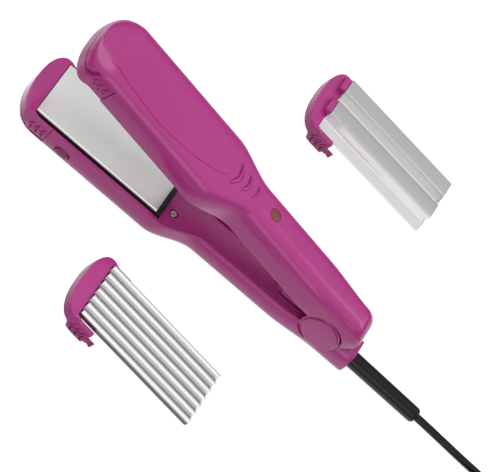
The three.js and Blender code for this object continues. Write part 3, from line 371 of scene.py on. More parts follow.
class Solid:  # a closed mesh in mm; + joins, - cuts and & keeps what two of them share
    def __init__(self, mesh):
        self.mesh = mesh

    def joined(self, other, how):
        first, second = added("first", self.mesh), added("second", other.mesh)
        cut = first.modifiers.new("cut", "BOOLEAN")
        cut.operation, cut.solver, cut.object = how, "MANIFOLD", second
        made = plainMesh(first)
        for obj in (first, second):
            bpy.data.objects.remove(obj)
        return Solid(made)

    def __add__(self, other):
        return self.joined(other, "UNION")

    def __sub__(self, other):
        return self.joined(other, "DIFFERENCE")

    def __and__(self, other):
        return self.joined(other, "INTERSECT")


def plainMesh(obj):
    graph = bpy.context.evaluated_depsgraph_get()
    return bpy.data.meshes.new_from_object(obj.evaluated_get(graph), depsgraph=graph)


weld = {"merge": 1e-4, "dissolve": 1e-5}  # mm


def solidFrom(points, faces):
    mesh = bpy.data.meshes.new("solid")
    mesh.from_pydata([tuple(p) for p in points], [], faces)
    made = bmesh.new()
    made.from_mesh(mesh)
    bmesh.ops.remove_doubles(made, verts=made.verts, dist=weld["merge"])
    bmesh.ops.dissolve_degenerate(made, edges=made.edges, dist=weld["dissolve"])
    bmesh.ops.recalc_face_normals(made, faces=made.faces)
    if made.calc_volume(signed=True) < 0:
        bmesh.ops.reverse_faces(made, faces=made.faces)
    made.to_mesh(mesh)
    made.free()
    return Solid(mesh)


def loft(rings):  # a skin over rings of equal counts, closed at both ends
    count = len(rings[0])
    points = [p for ring in rings for p in ring]
    following = [(j, (j + 1) % count) for j in range(count)]
    faces = []
    for first in range(0, (len(rings) - 1) * count, count):
        faces += [(first + a, first + a + count, first + b + count, first + b) for a, b in following]
    for ring in (0, len(rings) - 1):
        points.append(sum((Vector(p) for p in rings[ring]), Vector()) / count)
        faces += [(len(points) - 1, ring * count + a, ring * count + b) for a, b in following]
    return solidFrom(points, faces)


def placed(axis, u, v, w):
    if axis == "X":
        return (w, u, v)
    if axis == "Y":
        return (u, w, v)
    return (u, v, w)


def prism(axis, outline, low, high):
    count = len(outline)
    points = [placed(axis, u, v, w) for w in (low, high) for u, v in outline]
    faces = [tuple(range(count)), tuple(range(count, 2 * count))]
    faces += [(j, (j + 1) % count, count + (j + 1) % count, count + j) for j in range(count)]
    return solidFrom(points, faces)


def box(x0, x1, y0, y1, z0, z1):
    return prism("Z", [(x0, y0), (x1, y0), (x1, y1), (x0, y1)], z0, z1)


def arc(u, v, radius, start, end, steps):  # angles in degrees
    return [
        (u + radius * math.cos(a), v + radius * math.sin(a))
        for a in (math.radians(mixed(start, end, i / steps)) for i in range(steps + 1))
    ]


def drum(axis, radius, low, high, u, v, sides):
    return prism(axis, arc(u, v, radius, 0, 360, sides)[:-1], low, high)


def stadium(length, width, u, v, steps=16):  # a rectangle with round ends
    reach = (length - width) / 2
    return arc(u + reach, v, width / 2, -90, 90, steps) + arc(u - reach, v, width / 2, 90, 270, steps)


def stack(axis, layers):  # a loft of outlines, each with its place along the axis
    return loft([[placed(axis, u, v, w) for u, v in outline] for w, outline in layers])


def lathe(axis, profile, u, v, sides):  # a profile of radii and heights, turned about an axis
    return stack(axis, [(w, arc(u, v, max(r, 0.001), 0, 360, sides)[:-1]) for r, w in profile])


def bothSides(make):
    return make(-1) + make(1)


def spread(a, b):
    return min(a, b), max(a, b)


law = {  # how the arm's section changes along it
    "noseRise": 22,  # length in which the floor comes down behind the nose
    "noseFloor": 5,
    "noseRound": 13,  # length of the nose's round plan
    "nosePower": 2.6,
    "faceFade": 7,
    "powers": (2.8, 5, 2.4),  # squareness at the nose, the head and the grip
    "flat": 0.6,  # how much the floor cuts off the lower arm's round section
    "tail": (-34, 8),  # where the grip narrows
    "tailRise": (4, 17),  # where the lower arm's rim rises to a closed tube
    "tailFlat": 0.7,
    "upperPower": 1.2,  # how much squarer the upper grip is
    "upperTail": 1,  # how much wider the upper arm's rear is
    "endRound": 15,  # length of the upper arm's rounded end
    "endHalf": 0.62,  # shares of the half width and the depth that its end has
    "endDepth": 0.16,
    "endBeam": 0.4,
}


def armSection(x, upper):
    neck = eased(x, headRear, gripFront)
    nose = eased(x, noseX, noseX + law["noseRise"])
    plan = (1 - (1 - clamped((x - noseX) / law["noseRound"])) ** 2) ** (1 / law["nosePower"])
    rim = mixed(iron["noseFace"], iron["headRim"], eased(x, plateFront, plateFront + law["faceFade"]))
    nosePower, headPower, gripPower = law["powers"]
    s = {
        "half": mixed(headHalf, iron["gripHalf"], neck) * plan,
        "beam": mixed(iron["headRim"], iron["gripBeam"], neck),
        "floor": law["noseFloor"] * (1 - nose),
        "rim": mixed(rim, iron["gripRim"], neck),
        "power": mixed(mixed(nosePower, headPower, nose), gripPower, neck),
        "flat": law["flat"],
    }
    tail = eased(x, *law["tail"])
    if not upper:
        s["half"] = mixed(s["half"], iron["tailHalf"], tail)
        s["rim"] = mixed(s["rim"], 2 * iron["gripBeam"] - law["tailFlat"], eased(x, *law["tailRise"]))
        return s
    s["flat"] = 0
    s["half"] = mixed(s["half"], iron["tailHalf"] + law["upperTail"], tail)
    s["floor"] -= mixed(iron["upperHeadDepth"] * nose, iron["upperGripDepth"], neck)
    s["power"] += law["upperPower"] * neck
    end = clamped((x - iron["tailRear"] + law["endRound"]) / law["endRound"])
    drop = math.sqrt(1 - end * end)
    s["half"] *= mixed(law["endHalf"], 1, drop)
    s["floor"] = iron["gripRim"] - (iron["gripRim"] - s["floor"]) * mixed(law["endDepth"], 1, drop)
    s["beam"] = max(s["beam"], s["floor"] + law["endBeam"] * (iron["gripRim"] - s["floor"]))
    return s


def bowed(value, power):  # keeps the sign
    return math.copysign(abs(value) ** power, value)


lipSteps = 5  # of the rim's rounding


def ringAt(x, s, inset=0, edge=0, steps=72):  # a ring of an arm, from rim to rim
    half = s["half"] - inset
    drop = s["beam"] - s["floor"] - inset + s["flat"]
    rise = min(s["rim"] - edge - s["beam"], drop * 0.985)
    tilt = math.asin(max(0, rise / drop) ** (s["power"] / 2))
    side = []
    for i in range(steps + 1):
        t = mixed(-tilt, math.pi + tilt, i / steps)
        y = -half * bowed(math.cos(t), 2 / s["power"])
        z = s["beam"] - drop * bowed(math.sin(t), 2 / s["power"])
        side.append((x, y, max(s["floor"] + inset, z)))
    first, last = side[0], side[-1]
    if edge:
        over = min(edge, last[1] * 0.9)
        angles = [math.radians(90 / lipSteps * i) for i in range(1, lipSteps + 1)]
        lip = [(over * (1 - math.cos(a)), edge * math.sin(a)) for a in angles]
        side = [(x, first[1] + u, first[2] + v) for u, v in lip[::-1]] + side
        side += [(x, last[1] - u, last[2] + v) for u, v in lip]
    return side


# Places along an arm where its rings stand: closer together where the form turns.
noseSteps = (0.03, 0.12, 0.35, 0.8, 1.5, 2.4, 3.5, 4.8, 6.3, 8, 10, 12.2, 14.5, 17, 19.5, 22)
frontStations = [noseX + d for d in noseSteps]
frontStations += [seamX - 6, seamX + 4, seamX + 30, headRear - 30, headRear - 8, headRear]
frontStations += [headRear + iron["neck"] * i / 18 for i in range(1, 19)] + [-80, -60, -44]
frontStations += [-36 + 3 * i for i in range(12)]
endSteps = (14, 12, 10, 8.5, 7, 5.7, 4.5, 3.4, 2.5, 1.7, 1.1, 0.6, 0.3, 0.15)
tailStations = {
    False: [0, 2, 4, 5.5, 7, 8.5, 10, 11.5, 13, 14.5, 16, 17, 24, 30, 30.6, 31],
    True: [0, 2.5, 5, 7.5] + [iron["tailRear"] - d for d in endSteps],
}
collarBevel = {"from": 30, "slope": 0.4}


def armBody(upper):
    rings = []
    for x in frontStations + tailStations[upper]:
        bevelled = not upper and x > collarBevel["from"]
        trim = collarBevel["slope"] * (x - collarBevel["from"]) if bevelled else 0
        rings.append(ringAt(x, armSection(x, upper), trim, edge=iron["edge"]))
    return loft(rings)


def rimHalf(x, upper):
    return ringAt(x, armSection(x, upper), steps=8)[-1][1]


def mirrored(right):  # a closed outline from its right half
    return right + [(-u, v) for u, v in reversed(right)]


flare = {"radius": 0.7, "wide": 0.8, "above": 0.02}  # of the rounded mouth of the plate's room


def steppedRoom(x0, x1, low, high, halfTop, halfFoot):
    step, r, mouth = iron["step"] - gap, flare["radius"], iron["headRim"]
    right = [(halfFoot, low), (halfFoot, step), (halfTop, step)]
    right += [(halfTop + r * (1 - math.cos(a)), mouth - r + r * math.sin(a)) for a in (0, 0.5, 1.0, 1.4)]
    right += [(halfTop + flare["wide"], mouth + flare["above"]), (halfTop + flare["wide"], high)]
    return prism("X", mirrored(right), x0, x1)


seam = {
    "width": 1.0,
    "depth": 0.75,
    "ahead": 5,  # how far the line starts in front of the nose
    "drop": (  # how the line bows down from its level, as distances from the plate's front
        (-4, 0), (-2.4, 0.25), (-1.2, 1), (-0.3, 2.5),
    ),
    "foot": ((1.3, 1.6), (2.3, 0.4), (4, 0)),  # and how it runs out on the wing's foot
    "lag": 0.6,  # how far the groove's floor lies back at the nose
    "fade": 12,  # length in which the lag ends, and how far the groove reaches past the seam
}


def seamLine():
    level, rear, top = iron["noseSeam"], seamX - gap / 2, cutter["top"]
    line = [(noseX - seam["ahead"], level)]
    line += [(plateFront + d, level - drop) for d, drop in seam["drop"]]
    line += [(plateFront + 0.5, (level + wingLow) / 2)]
    line += [(plateFront + d, wingLow + rise) for d, rise in seam["foot"]]
    return line + [(rear, wingLow), (rear, top)]


def acrossHead(outline):  # a prism through the head from side to side
    return prism("Y", outline, -headHalf - cutter["past"], headHalf + cutter["past"])


def capRegion():  # all that belongs to a cap
    inside, ahead = boatHalf + gap, noseX - seam["ahead"]
    region = acrossHead(seamLine() + [(ahead, cutter["top"])])
    return region - box(ahead - 1, seamX + 1, -inside, inside, 0, iron["noseSeam"])


def capRoom():  # what the housing leaves free for a cap
    x0, x1, top = noseX - seam["ahead"], seamX + gap / 2, cutter["top"]
    room = box(x0, x1, -boatHalf - 1, boatHalf + 1, iron["noseSeam"] - gap, top)
    for side in (-1, 1):
        y0, y1 = spread(side * boatHalf, side * (headHalf + cutter["past"]))
        room = room + box(x0, x1, y0, y1, iron["floorTop"] - gap / 2, top)
    return room


def offset(line, distance):  # the points of an open line, moved to its left
    moved = []
    for i, (u, v) in enumerate(line):
        (u0, v0), (u1, v1) = line[max(0, i - 1)], line[min(len(line) - 1, i + 1)]
        run = math.hypot(u1 - u0, v1 - v0)
        moved.append((u - (v1 - v0) / run * distance, v + (u1 - u0) / run * distance))
    return moved


def seamGroove(upper):  # a shallow channel along the joint between cap and housing
    left, right = (offset(seamLine(), way * seam["width"] / 2) for way in (1, -1))
    rings = []
    for x in frontStations:
        if x < seamX + seam["fade"]:
            s = armSection(x, upper)
            s["half"] = max(0.02, s["half"] - seam["depth"])
            lag = seam["lag"] * (1 - eased(x, noseX, noseX + seam["fade"]))
            rings.append(ringAt(x + lag, s, edge=iron["edge"]))
    return acrossHead(left + right[::-1]) - loft(rings)


hollow = {"places": (3, 4, 5, 6.5, 8, 9.5, 11), "below": 2}  # of the nose, from its tip and from its face


def noseHollow(upper):  # the hollow of a nose, its cap's too
    rings = []
    for d in hollow["places"]:
        s = armSection(noseX + d - iron["wall"], upper)
        s["half"] = min(s["half"], boatHalf)
        s["beam"] = s["rim"] = iron["noseFace"] - hollow["below"]
        rings.append(ringAt(noseX + d, s, iron["wall"], steps=32))
    return loft(rings)


hook = {
    "inner": boatHalf + gap + 0.2,
    "outer": boatHalf + gap + 1.6,
    "low": 8.4,
    "high": 13.6,
    "length": 6.5,
    "root": 6,
    "room": 1.2,  # behind its end
    "notch": (2.2, 4.6),
    "notchDepth": 0.7,
    "notchHeights": (7, 15),
}


def hookAt(x0, x1, slack):
    low, high = hook["low"] - slack, hook["high"] + slack
    return box(x0, x1, -hook["outer"] - slack, -hook["inner"] + slack, low, high)


cover = {
    "front": carrierRear + 2,
    "rear": -11,
    "thick": 3.4,
    "sink": 2.2,
    "lip": 2.0,
    "crown": 0.7,
    "joint": 0.5,
    "roll": 1.5,
    "flat": 0.75,  # share of its half width before the edge rolls down
    "mouth": ((0, -0.8), (0.2, -0.3), (0.6, -0.02)),  # the housing's rounded edge beside it
    "mouthWide": 0.65,
}
coverPlaces = [cover["front"] + (cover["rear"] - cover["front"]) * i / 48 for i in range(49)]


def coverHalf(x, upper):
    return rimHalf(x, upper) - cover["lip"]


def coverSeat(upper):  # the room that a handle cover lies in
    rings = []
    for x in coverPlaces:
        half, rim = coverHalf(x, upper), armSection(x, upper)["rim"]
        right = [(half, rim - cover["thick"] - cover["sink"] - gap)]
        right += [(half + u, rim + v) for u, v in cover["mouth"]] + [(half + cover["mouthWide"], rim + 6)]
        rings.append([(x, -right[0][0], right[0][1])] + [(x, u, v) for u, v in right])
        rings[-1] += [(x, -u, v) for u, v in reversed(right[1:])]
    return loft(rings)


def coverBody(upper):
    rings = []
    for place in coverPlaces:
        x = min(cover["rear"] - gap, max(cover["front"] + gap, place))
        half, top = coverHalf(x, upper) - cover["joint"], armSection(x, upper)["rim"] - cover["sink"]
        ring = [(x, -half, top - cover["thick"]), (x, half, top - cover["thick"])]
        for t in (1 - i / 8 for i in range(17)):
            rolled = cover["roll"] * max(0, (abs(t) - cover["flat"]) / (1 - cover["flat"])) ** 2
            ring.append((x, half * t, top + cover["crown"] * (1 - t * t) - rolled))
        rings.append(ring)
    return loft(rings)


def gripCavity(upper, tail):  # the hollow of a grip below its handle cover
    stations = [cover["front"] + 0.8] + [headRear + iron["neck"] * i / 8 for i in range(1, 9)]
    rings = []
    for x in stations + [-34, -25, -16, -8, 0] + tail:
        s = armSection(x, upper)
        s["rim"] = max(s["beam"] + 0.5, s["rim"] - cover["thick"] - cover["sink"] - gap + 0.1)
        rings.append(ringAt(x, s, iron["wall"], steps=32))
    return loft(rings)


def crescent(height, thick, way, inset, bow):  # its back touches 0 and points to way
    steps = 16
    sides = [[], []]
    for i in range(steps + 1):
        q = 2 * i / steps - 1
        middle = -bow * height * q * q - thick / 2
        half = (thick / 2 - inset) * max(0.15, 1 - q * q)
        for side, across in zip(sides, (half, -half)):
            side.append((way * (middle + across), q * (height / 2 - 1.5 * inset)))
    return sides[0] + sides[1][::-1]


smooth = {
    "merge": 2e-3,  # mm
    "dissolve": 1e-4,
    "angle": 32,  # degrees; an edge that is sharper stays hard
}


# A solid becomes a piece on its body, with its finish and the CAD nodes that it stands for.
def finished(name, solid, body, slot, replaced, place=Matrix(), look=None):
    mesh = solid.mesh.copy()
    made = bmesh.new()
    made.from_mesh(mesh)
    bmesh.ops.remove_doubles(made, verts=made.verts, dist=smooth["merge"])
    bmesh.ops.dissolve_degenerate(made, edges=made.edges, dist=smooth["dissolve"])
    bmesh.ops.triangulate(made, faces=[f for f in made.faces if len(f.verts) > 4])
    bmesh.ops.recalc_face_normals(made, faces=made.faces)
    made.to_mesh(mesh)
    made.free()
    mesh.transform(Matrix.Scale(mm, 4) @ place)
    mesh.polygons.foreach_set("use_smooth", [True] * len(mesh.polygons))
    mesh.set_sharp_from_angle(angle=math.radians(smooth["angle"]))
    mesh.materials.clear()
    mesh.materials.append(finishes[look or slot])
    obj = added(name, mesh)
    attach(obj, body)
    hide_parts(*replaced)
    print(name, len(mesh.polygons), "faces")
    return obj


button = {
    "x": seamX + 15.5,
    "z": 11,
    "length": 12,
    "height": 8,
    "proud": 0.8,
    "smaller": 0.6,  # than its hole without the gap
    "flange": (3, 1.4),  # how much longer and higher than the button
    "flangeThick": 1,
    "face": ((0, 2.4), (0.15, 1.3), (0.45, 0.5), (0.9, 0.1), (1.2, 0)),  # depth and inset of its rounded face
}
hinge = {
    "disc": 15.5,
    "discThick": 1.5,
    "earInner": 10.6,
    "ear": 2.1,
    "pin": 2.5,
    "pinSlack": 0.25,
    "knuckle": 8,
    "knuckleInner": 4.6,
    "knuckleGap": 0.4,
    "margin": 1.5,
    "hub": 4.8,  # recess for the disc's spigot
    "hubDepth": 0.9,
    "boreHalf": 20,  # half length of the bores on the hinge's axis
    "outside": 40,  # how far the cuts beside the ears reach
    "earFoot": 16,  # foot of the room between the lower arm's ears
    "upperFoot": 12,  # foot of the room that the ears turn in
    "lobeFoot": 1.5,
    "knuckleRoom": (20, 12),  # half length and half width over which the knuckles are kept
}
earOuter = hinge["earInner"] + hinge["ear"]
discInner = earOuter + gap
sleeve = {
    "diameter": 12.6,
    "length": 63,
    "z": 10,
    "droop": math.radians(2.5),
    "collar": 31,
    "taper": 0.4,
    "flange": 1.4,
    "flangePlaces": (7.2, 9.2),
    "mouth": ((-0.1, -0.9), (0.3, -0.3), (0.8, 0.1)),  # the collar's rounded mouth, from the bore and its end
    "end": ((3, 0), (2.2, 0.08), (1.4, 0.3), (0.7, 0.75), (0.25, 1.3), (0, 1.9)),  # its rounded end
}
screw = {
    "x": carrierRear + 7.4,
    "y": 11,
    "radius": 2.6,
    "height": 1.6,
    "sink": 1.5,
    "length": 10,
    "shank": 1.2,
    "bore": 1.5,
    "boreDepth": 14,
    "boss": 3.4,
    "bossFoot": 1.2,
    "slot": (1.7, 0.42),  # half length and half width
    "slotFoot": 0.45,  # share of the height
    "foot": (0.1, 0.12),  # bevel under the head
    "head": (  # shares of radius and height
        (1, 0.4), (0.94, 0.66), (0.82, 0.84), (0.64, 0.94), (0.4, 0.99), (0.01, 1),
    ),
}


def sideDrum(side, radius, y0, y1, sides=96):
    low, high = spread(side * y0, side * y1)
    return drum("Y", radius, low, high, 0, axisZ, sides)


def pinBore():
    return drum("Y", hinge["pin"] + hinge["pinSlack"], -hinge["boreHalf"], hinge["boreHalf"], 0, axisZ, 32)


def screwBosses(upper):
    s = armSection(screw["x"], upper)
    low, top = s["floor"] + screw["bossFoot"], s["rim"] - cover["thick"] - cover["sink"] - 2 * gap
    return bothSides(lambda side: drum("Z", screw["boss"], low, top, screw["x"], side * screw["y"], 24))


def housingShell(upper, cavityTail, body):
    hole = stadium(button["length"] + 2 * gap, button["height"] + 2 * gap, button["x"], button["z"])
    top = armSection(screw["x"], upper)["rim"]
    shell = body - capRoom()
    shell = shell - steppedRoom(
        plateFront - gap, carrierRear + gap, iron["floorTop"], cutter["high"], carrierHalf + gap, footHalf
    )
    shell = shell - noseHollow(upper) - coverSeat(upper) - gripCavity(upper, cavityTail) + screwBosses(upper)
    for side in (-1, 1):
        bore = drum("Z", screw["bore"], top - screw["boreDepth"], top, screw["x"], side * screw["y"], 20)
        shell = shell - bore
    wireWay = drum("X", iron["wireBore"], carrierRear - 1, cover["front"] + 3.8, 0, iron["wireHeight"], 24)
    hookRoom = hookAt(seamX - 1, seamX + hook["length"] + hook["room"], gap)
    shell = shell - wireWay - hookRoom - seamGroove(upper)
    return shell - prism("Y", hole, -headHalf - 3, -footHalf + 2)


def lowerHousing():
    shell = housingShell(False, [6, 9.5], armBody(False))
    disc, ear = hinge["disc"], hinge["earInner"]
    valley = hinge["knuckle"] + 1
    shell = shell - drum("X", valley, -valley, valley, 0, axisZ + hinge["knuckle"], 8)
    shell = shell - box(-disc - 1, disc + 1, -ear, ear, hinge["earFoot"], cutter["high"])
    for side in (-1, 1):
        outside = sideDrum(side, disc + gap, earOuter, hinge["outside"])
        shell = shell - outside + sideDrum(side, disc, ear, earOuter)
    shell = shell - pinBore()
    for side in (-1, 1):
        shell = shell - sideDrum(side, hinge["hub"], earOuter - hinge["hubDepth"], hinge["boreHalf"], 32)
    radius, end, z = sleeve["diameter"] / 2 + gap, sleeve["collar"], sleeve["z"]
    shell = shell - drum("X", radius, 2, end + 5, 0, z, 64)
    shell = shell - drum("X", radius + sleeve["flange"], 2, sleeve["flangePlaces"][1] + gap, 0, z, 64)
    mouth = [(radius + u, end + v) for u, v in sleeve["mouth"]]
    return shell - lathe("X", [(0, mouth[0][1])] + mouth + [(0, mouth[-1][1])], 0, z, 64)


class NodeTree:  # a geometry tree; node() adds a node and links what it is given
    def __init__(self, name):
        self.group = bpy.data.node_groups.new(name, "GeometryNodeTree")
        self.start = self.group.nodes.new("NodeGroupInput")
        self.end = self.group.nodes.new("NodeGroupOutput")
        self.keys = {}

    def input(self, name, kind, value=None):
        made = self.group.interface.new_socket(name, in_out="INPUT", socket_type=kind)
        if value is not None:
            made.default_value = value
        self.keys[name] = made.identifier

    def node(self, kind, inputs=None, settings=None):
        made = self.group.nodes.new(kind)
        for key, value in (settings or {}).items():
            setattr(made, key, value)
        for key, value in (inputs or {}).items():
            if isinstance(value, bpy.types.NodeSocket):
                self.group.links.new(value, made.inputs[key])
            else:
                made.inputs[key].default_value = value
        return made.outputs

    def ended(self, geometry):
        self.group.interface.new_socket("Mesh", in_out="OUTPUT", socket_type="NodeSocketGeometry")
        real = self.node("GeometryNodeRealizeInstances", {"Geometry": geometry})
        finish = self.start.outputs["Finish"]
        painted = self.node("GeometryNodeSetMaterial", {"Geometry": real["Geometry"], "Material": finish})
        self.group.links.new(painted["Geometry"], self.end.inputs["Mesh"])
        return self


def grown(tree, values):  # the plain mesh that a tree makes from its named inputs
    holder = added("holder", bpy.data.meshes.new("holder"))
    modifier = holder.modifiers.new("tree", "NODES")
    modifier.node_group = tree.group
    for name, value in values.items():
        modifier[tree.keys[name]] = value
    made = plainMesh(holder)
    bpy.data.objects.remove(holder)
    return made


def rowTree():
    tree = NodeTree("rowOfCopies")
    tree.input("Piece", "NodeSocketObject")
    tree.input("Count", "NodeSocketInt", 3)
    tree.input("Step", "NodeSocketVector", (1, 0, 0))
    tree.input("Shrink", "NodeSocketFloat", 0)
    tree.input("Finish", "NodeSocketMaterial")
    given = tree.start.outputs
    line = tree.node("GeometryNodeMeshLine", {"Count": given["Count"], "Offset": given["Step"]})
    piece = tree.node("GeometryNodeObjectInfo", {"Object": given["Piece"]}, {"transform_space": "ORIGINAL"})
    index = tree.node("GeometryNodeInputIndex")
    less = tree.node("ShaderNodeMath", {0: index[0], 1: given["Shrink"]}, {"operation": "MULTIPLY"})
    size = tree.node("ShaderNodeMath", {0: 1.0, 1: less[0]}, {"operation": "SUBTRACT"})
    copies = tree.node(
        "GeometryNodeInstanceOnPoints",
        {"Points": line["Mesh"], "Instance": piece["Geometry"], "Scale": size[0]},
    )
    return tree.ended(copies["Instances"])


rows = rowTree()


def rowOf(solid, count, step, shrink, place):  # copies in a row, each smaller than the last by a share
    source = added("source", solid.mesh)
    values = {"Piece": source, "Count": count, "Step": step, "Shrink": shrink, "Finish": finishes["shell"]}
    row = grown(rows, values)
    bpy.data.objects.remove(source)
    row.transform(Matrix.Translation(place))
    return Solid(row)


back = {  # the raised panel and the three crescents on the upper arm
    "rear": headRear + 8.5,
    "edge": (  # shares of its length and of the head's half width
        (0.046, 0.38), (0.089, 0.54), (0.182, 0.63), (0.337, 0.71), (0.539, 0.745), (0.733, 0.64),
        (0.872, 0.475), (0.957, 0.3), (0.993, 0.12),
    ),
    "proud": 0.46,
    "edgeWidth": 0.9,
    "groove": 1.6,
    "grooveDepth": 0.7,  # share of its width
    "slab": (-20, 0),  # heights that the panel is cut from
    "taper": 40,  # length in which the edge's inset grows from the middle
    "moons": 3,
    "moonX": headRear + 15.4,
    "moonStep": (8.2, 0, -0.85),
    "moonHeight": 20,
    "moonThick": 3.2,
    "moonRing": 0.5,  # width and depth of the channel round each of them
    "moonBow": 0.17,
    "moonForm": ((-0.1, 0), (-0.4, 0.15), (-0.62, 0.45), (-0.7, 0.95)),  # height and inset of the rounding
    "shrink": 0.19,
}


def between(p, q, r, s, t):  # a smooth step from q to r, with p before them and s behind
    square, cube = 2 * p - 5 * q + 4 * r - s, 3 * q - p - 3 * r + s
    return 0.5 * (2 * q + (r - p) * t + square * t * t + cube * t ** 3)


def throughPoints(points, steps):  # a smooth curve through points, open at both ends
    made = []
    ends = [points[0]] + list(points) + [points[-1]]
    for a, b, c, d in zip(ends, ends[1:], ends[2:], ends[3:]):
        for t in (i / steps for i in range(steps)):
            made.append(tuple(between(p, q, r, s, t) for p, q, r, s in zip(a, b, c, d)))
    return made + [points[-1]]


def backPanel(body):
    half = [(mixed(noseX, back["rear"], u), v * headHalf) for u, v in back["edge"]]
    whole = throughPoints(half + [(x, -y) for x, y in reversed(half)], 8)
    middle = mixed(noseX, back["rear"], 0.5)
    stations = [noseX + d for d in (6, *noseSteps[9:])] + [seamX + 8 * i for i in range(13)]

    def skin(grow):
        rings = []
        for x in stations:
            s = armSection(x, True)
            s["rim"] = s["beam"] - 1
            rings.append(ringAt(x, s, -grow))
        return loft(rings)

    def slab(inset):  # a prism within the panel's outline
        outline = []
        for x, y in whole:
            along = inset * min(1, abs(x - middle) / back["taper"])
            across = min(inset, abs(y))
            outline.append((x - math.copysign(along, x - middle), y - math.copysign(across, y)))
        return prism("Z", outline, *back["slab"])

    body = body - ((slab(-back["groove"]) & skin(1)) - skin(-back["groove"] * back["grooveDepth"]))
    for share in (0.25, 0.5, 0.75, 1):
        body = body + (slab(back["edgeWidth"] * (share - 0.25) ** 1.5) & skin(back["proud"] * share))
    return body


def moonRow(layers):
    place = (back["moonX"], 0, armSection(back["moonX"], True)["floor"])
    shapes = [(z, crescent(back["moonHeight"], back["moonThick"], 1, d, back["moonBow"])) for z, d in layers]
    return rowOf(stack("Z", shapes), back["moons"], back["moonStep"], back["shrink"], place)


lens = {
    "x": -89,
    "radius": 4.3,
    "form": (  # distance from its edge and height, from the flange to the face
        (1.3, 4.0), (1.3, 3.2), (0, 3.2), (0, 0.15), (-0.12, 0), (-0.4, -0.08),
    ),
    "crown": ((0.6, -0.22), (0, -0.3)),  # share of the radius and height
    "board": (1.6, 1.4, 6.3, 7.8),  # radius, foot, top and place of the two pegs that hold the board
}


def lensSeat(shell):
    x, face = lens["x"], armSection(lens["x"], True)["floor"]
    shell = shell - drum("Z", lens["radius"] + gap, face - 5, face + 5, x, 0, 64)
    radius, foot, top, away = lens["board"]
    for side in (-1, 1):
        shell = shell + drum("Z", radius, face + foot, face + top, x + side * away, 0, 16)
    return shell


def upperHousing():
    body = armBody(True)
    shell = housingShell(True, [6, 12, 16], body)
    ring = back["moonRing"]
    shell = backPanel(shell) - moonRow([(ring, -ring), (0, -ring), (-0.1, -1.4 * ring), (-4, -1.4 * ring)])
    shell = shell + moonRow([(ring + 1, 0), *back["moonForm"]])
    disc, ear, knuckle = hinge["disc"], hinge["earInner"], hinge["knuckle"]
    foot, (long, wide) = hinge["lobeFoot"], hinge["knuckleRoom"]
    lobe = arc(0, axisZ, knuckle, 0, 180, 32) + [(-knuckle - 1, foot), (knuckle + 1, foot)]
    room = body + box(-long, long, -wide, wide, iron["gripBeam"], cutter["high"])
    shell = shell - box(-disc - 2, disc + 2, -ear - 1, ear + 1, hinge["upperFoot"], cutter["high"])
    knuckleOuter = ear - hinge["knuckleGap"]
    for side in (-1, 1):
        shell = shell - sideDrum(side, disc + hinge["margin"], knuckleOuter, hinge["outside"])
        low, high = spread(side * hinge["knuckleInner"], side * knuckleOuter)
        shell = shell + (prism("Y", lobe, low, high) & room)
    return lensSeat(shell - pinBore())


finished("lowerHousing", lowerHousing(), "lower_arm", "shell", ["lower_housing"])
finished("upperHousing", upperHousing(), "upper_arm", "shell", ["upper_housing"], upperPlace)


ribs = {
    "count": 3,
    "spacing": 4.75,
    "height": 9.4,
    "thick": 2.0,
    "proud": 0.42,
    "form": ((-0.7, 0), (-0.3, 0.15), (-0.08, 0.4), (0, 0.75)),  # height below the top and inset
    "bow": 0.24,
    "z": 12.5,
    "last": seamX - 5.6,
    "sunk": 0.9,  # the wings lie this far inside the housing's side
    "sinking": (noseX + 8, plateFront + 1),  # where they come inside
    "root": -3,  # the ribs' inner end, from the head's side
}


def wingRibs(side):
    levels = [(ribs["root"], 0)] + [(ribs["proud"] + rise, inset) for rise, inset in ribs["form"]]
    layers = []
    for y, inset in levels:
        shape = crescent(ribs["height"], ribs["thick"], -1, inset, ribs["bow"])
        layers.append((side * (headHalf + y), shape))
    step, place = (-ribs["spacing"], 0, 0), (ribs["last"], 0, ribs["z"])
    return rowOf(stack("Y", layers), ribs["count"], step, 0, place)


def capSkin(upper):
    rings = []
    for x in frontStations:
        if x < seamX + 6:
            s = armSection(x, upper)
            s["half"] = max(0.02, s["half"] - ribs["sunk"] * eased(x, *ribs["sinking"]))
            rings.append(ringAt(x, s, edge=iron["edge"]))
    return loft(rings)


def capBody(upper):
    cap = (capSkin(upper) & capRegion()) - seamGroove(upper) + bothSides(wingRibs)
    cap = cap - steppedRoom(
        plateFront - gap, seamX + 5, -5, cutter["top"], carrierHalf + gap, boatHalf + gap
    )
    cap = cap - noseHollow(upper) + hookAt(seamX - hook["root"], seamX + hook["length"], 0)
    notch0, notch1 = (seamX + d for d in hook["notch"])
    outer = -hook["outer"]
    return cap - box(notch0, notch1, outer - 1, outer + hook["notchDepth"], *hook["notchHeights"])


ledge = {"ahead": 1.5, "under": 2, "side": 1.6, "thick": 1.5, "crimp": 3.4, "waver": 5.9}


def withLedge(cap, drop):  # a ledge below the front edge of a loose plate
    x0, x1 = plateFront - ledge["ahead"], plateFront + ledge["under"]
    half, top = plateHalf - ledge["side"], plateTop - drop
    return cap + box(x0, x1, -half, half, top - ledge["thick"], top)


waver = {
    "low": 9,
    "wall": 1.6,
    "crest": 13.6,
    "valley": 7,
    "height": 8.5,
    "bend": 1.5,
    "edge": 0.5,  # from the plate's side to the first and the last bend
    "endDrop": 0.2,
    "endFoot": 21.5,
    "endBend": 2.5,
    "endForm": (  # places in front of the plate and insets of a crest's rounded end
        (-5, 0.5), (-4.6, 0.15), (-4, 0), (-gap - 0.5, 0), (-gap - 0.15, 0.12), (-gap, 0.3),
    ),
}


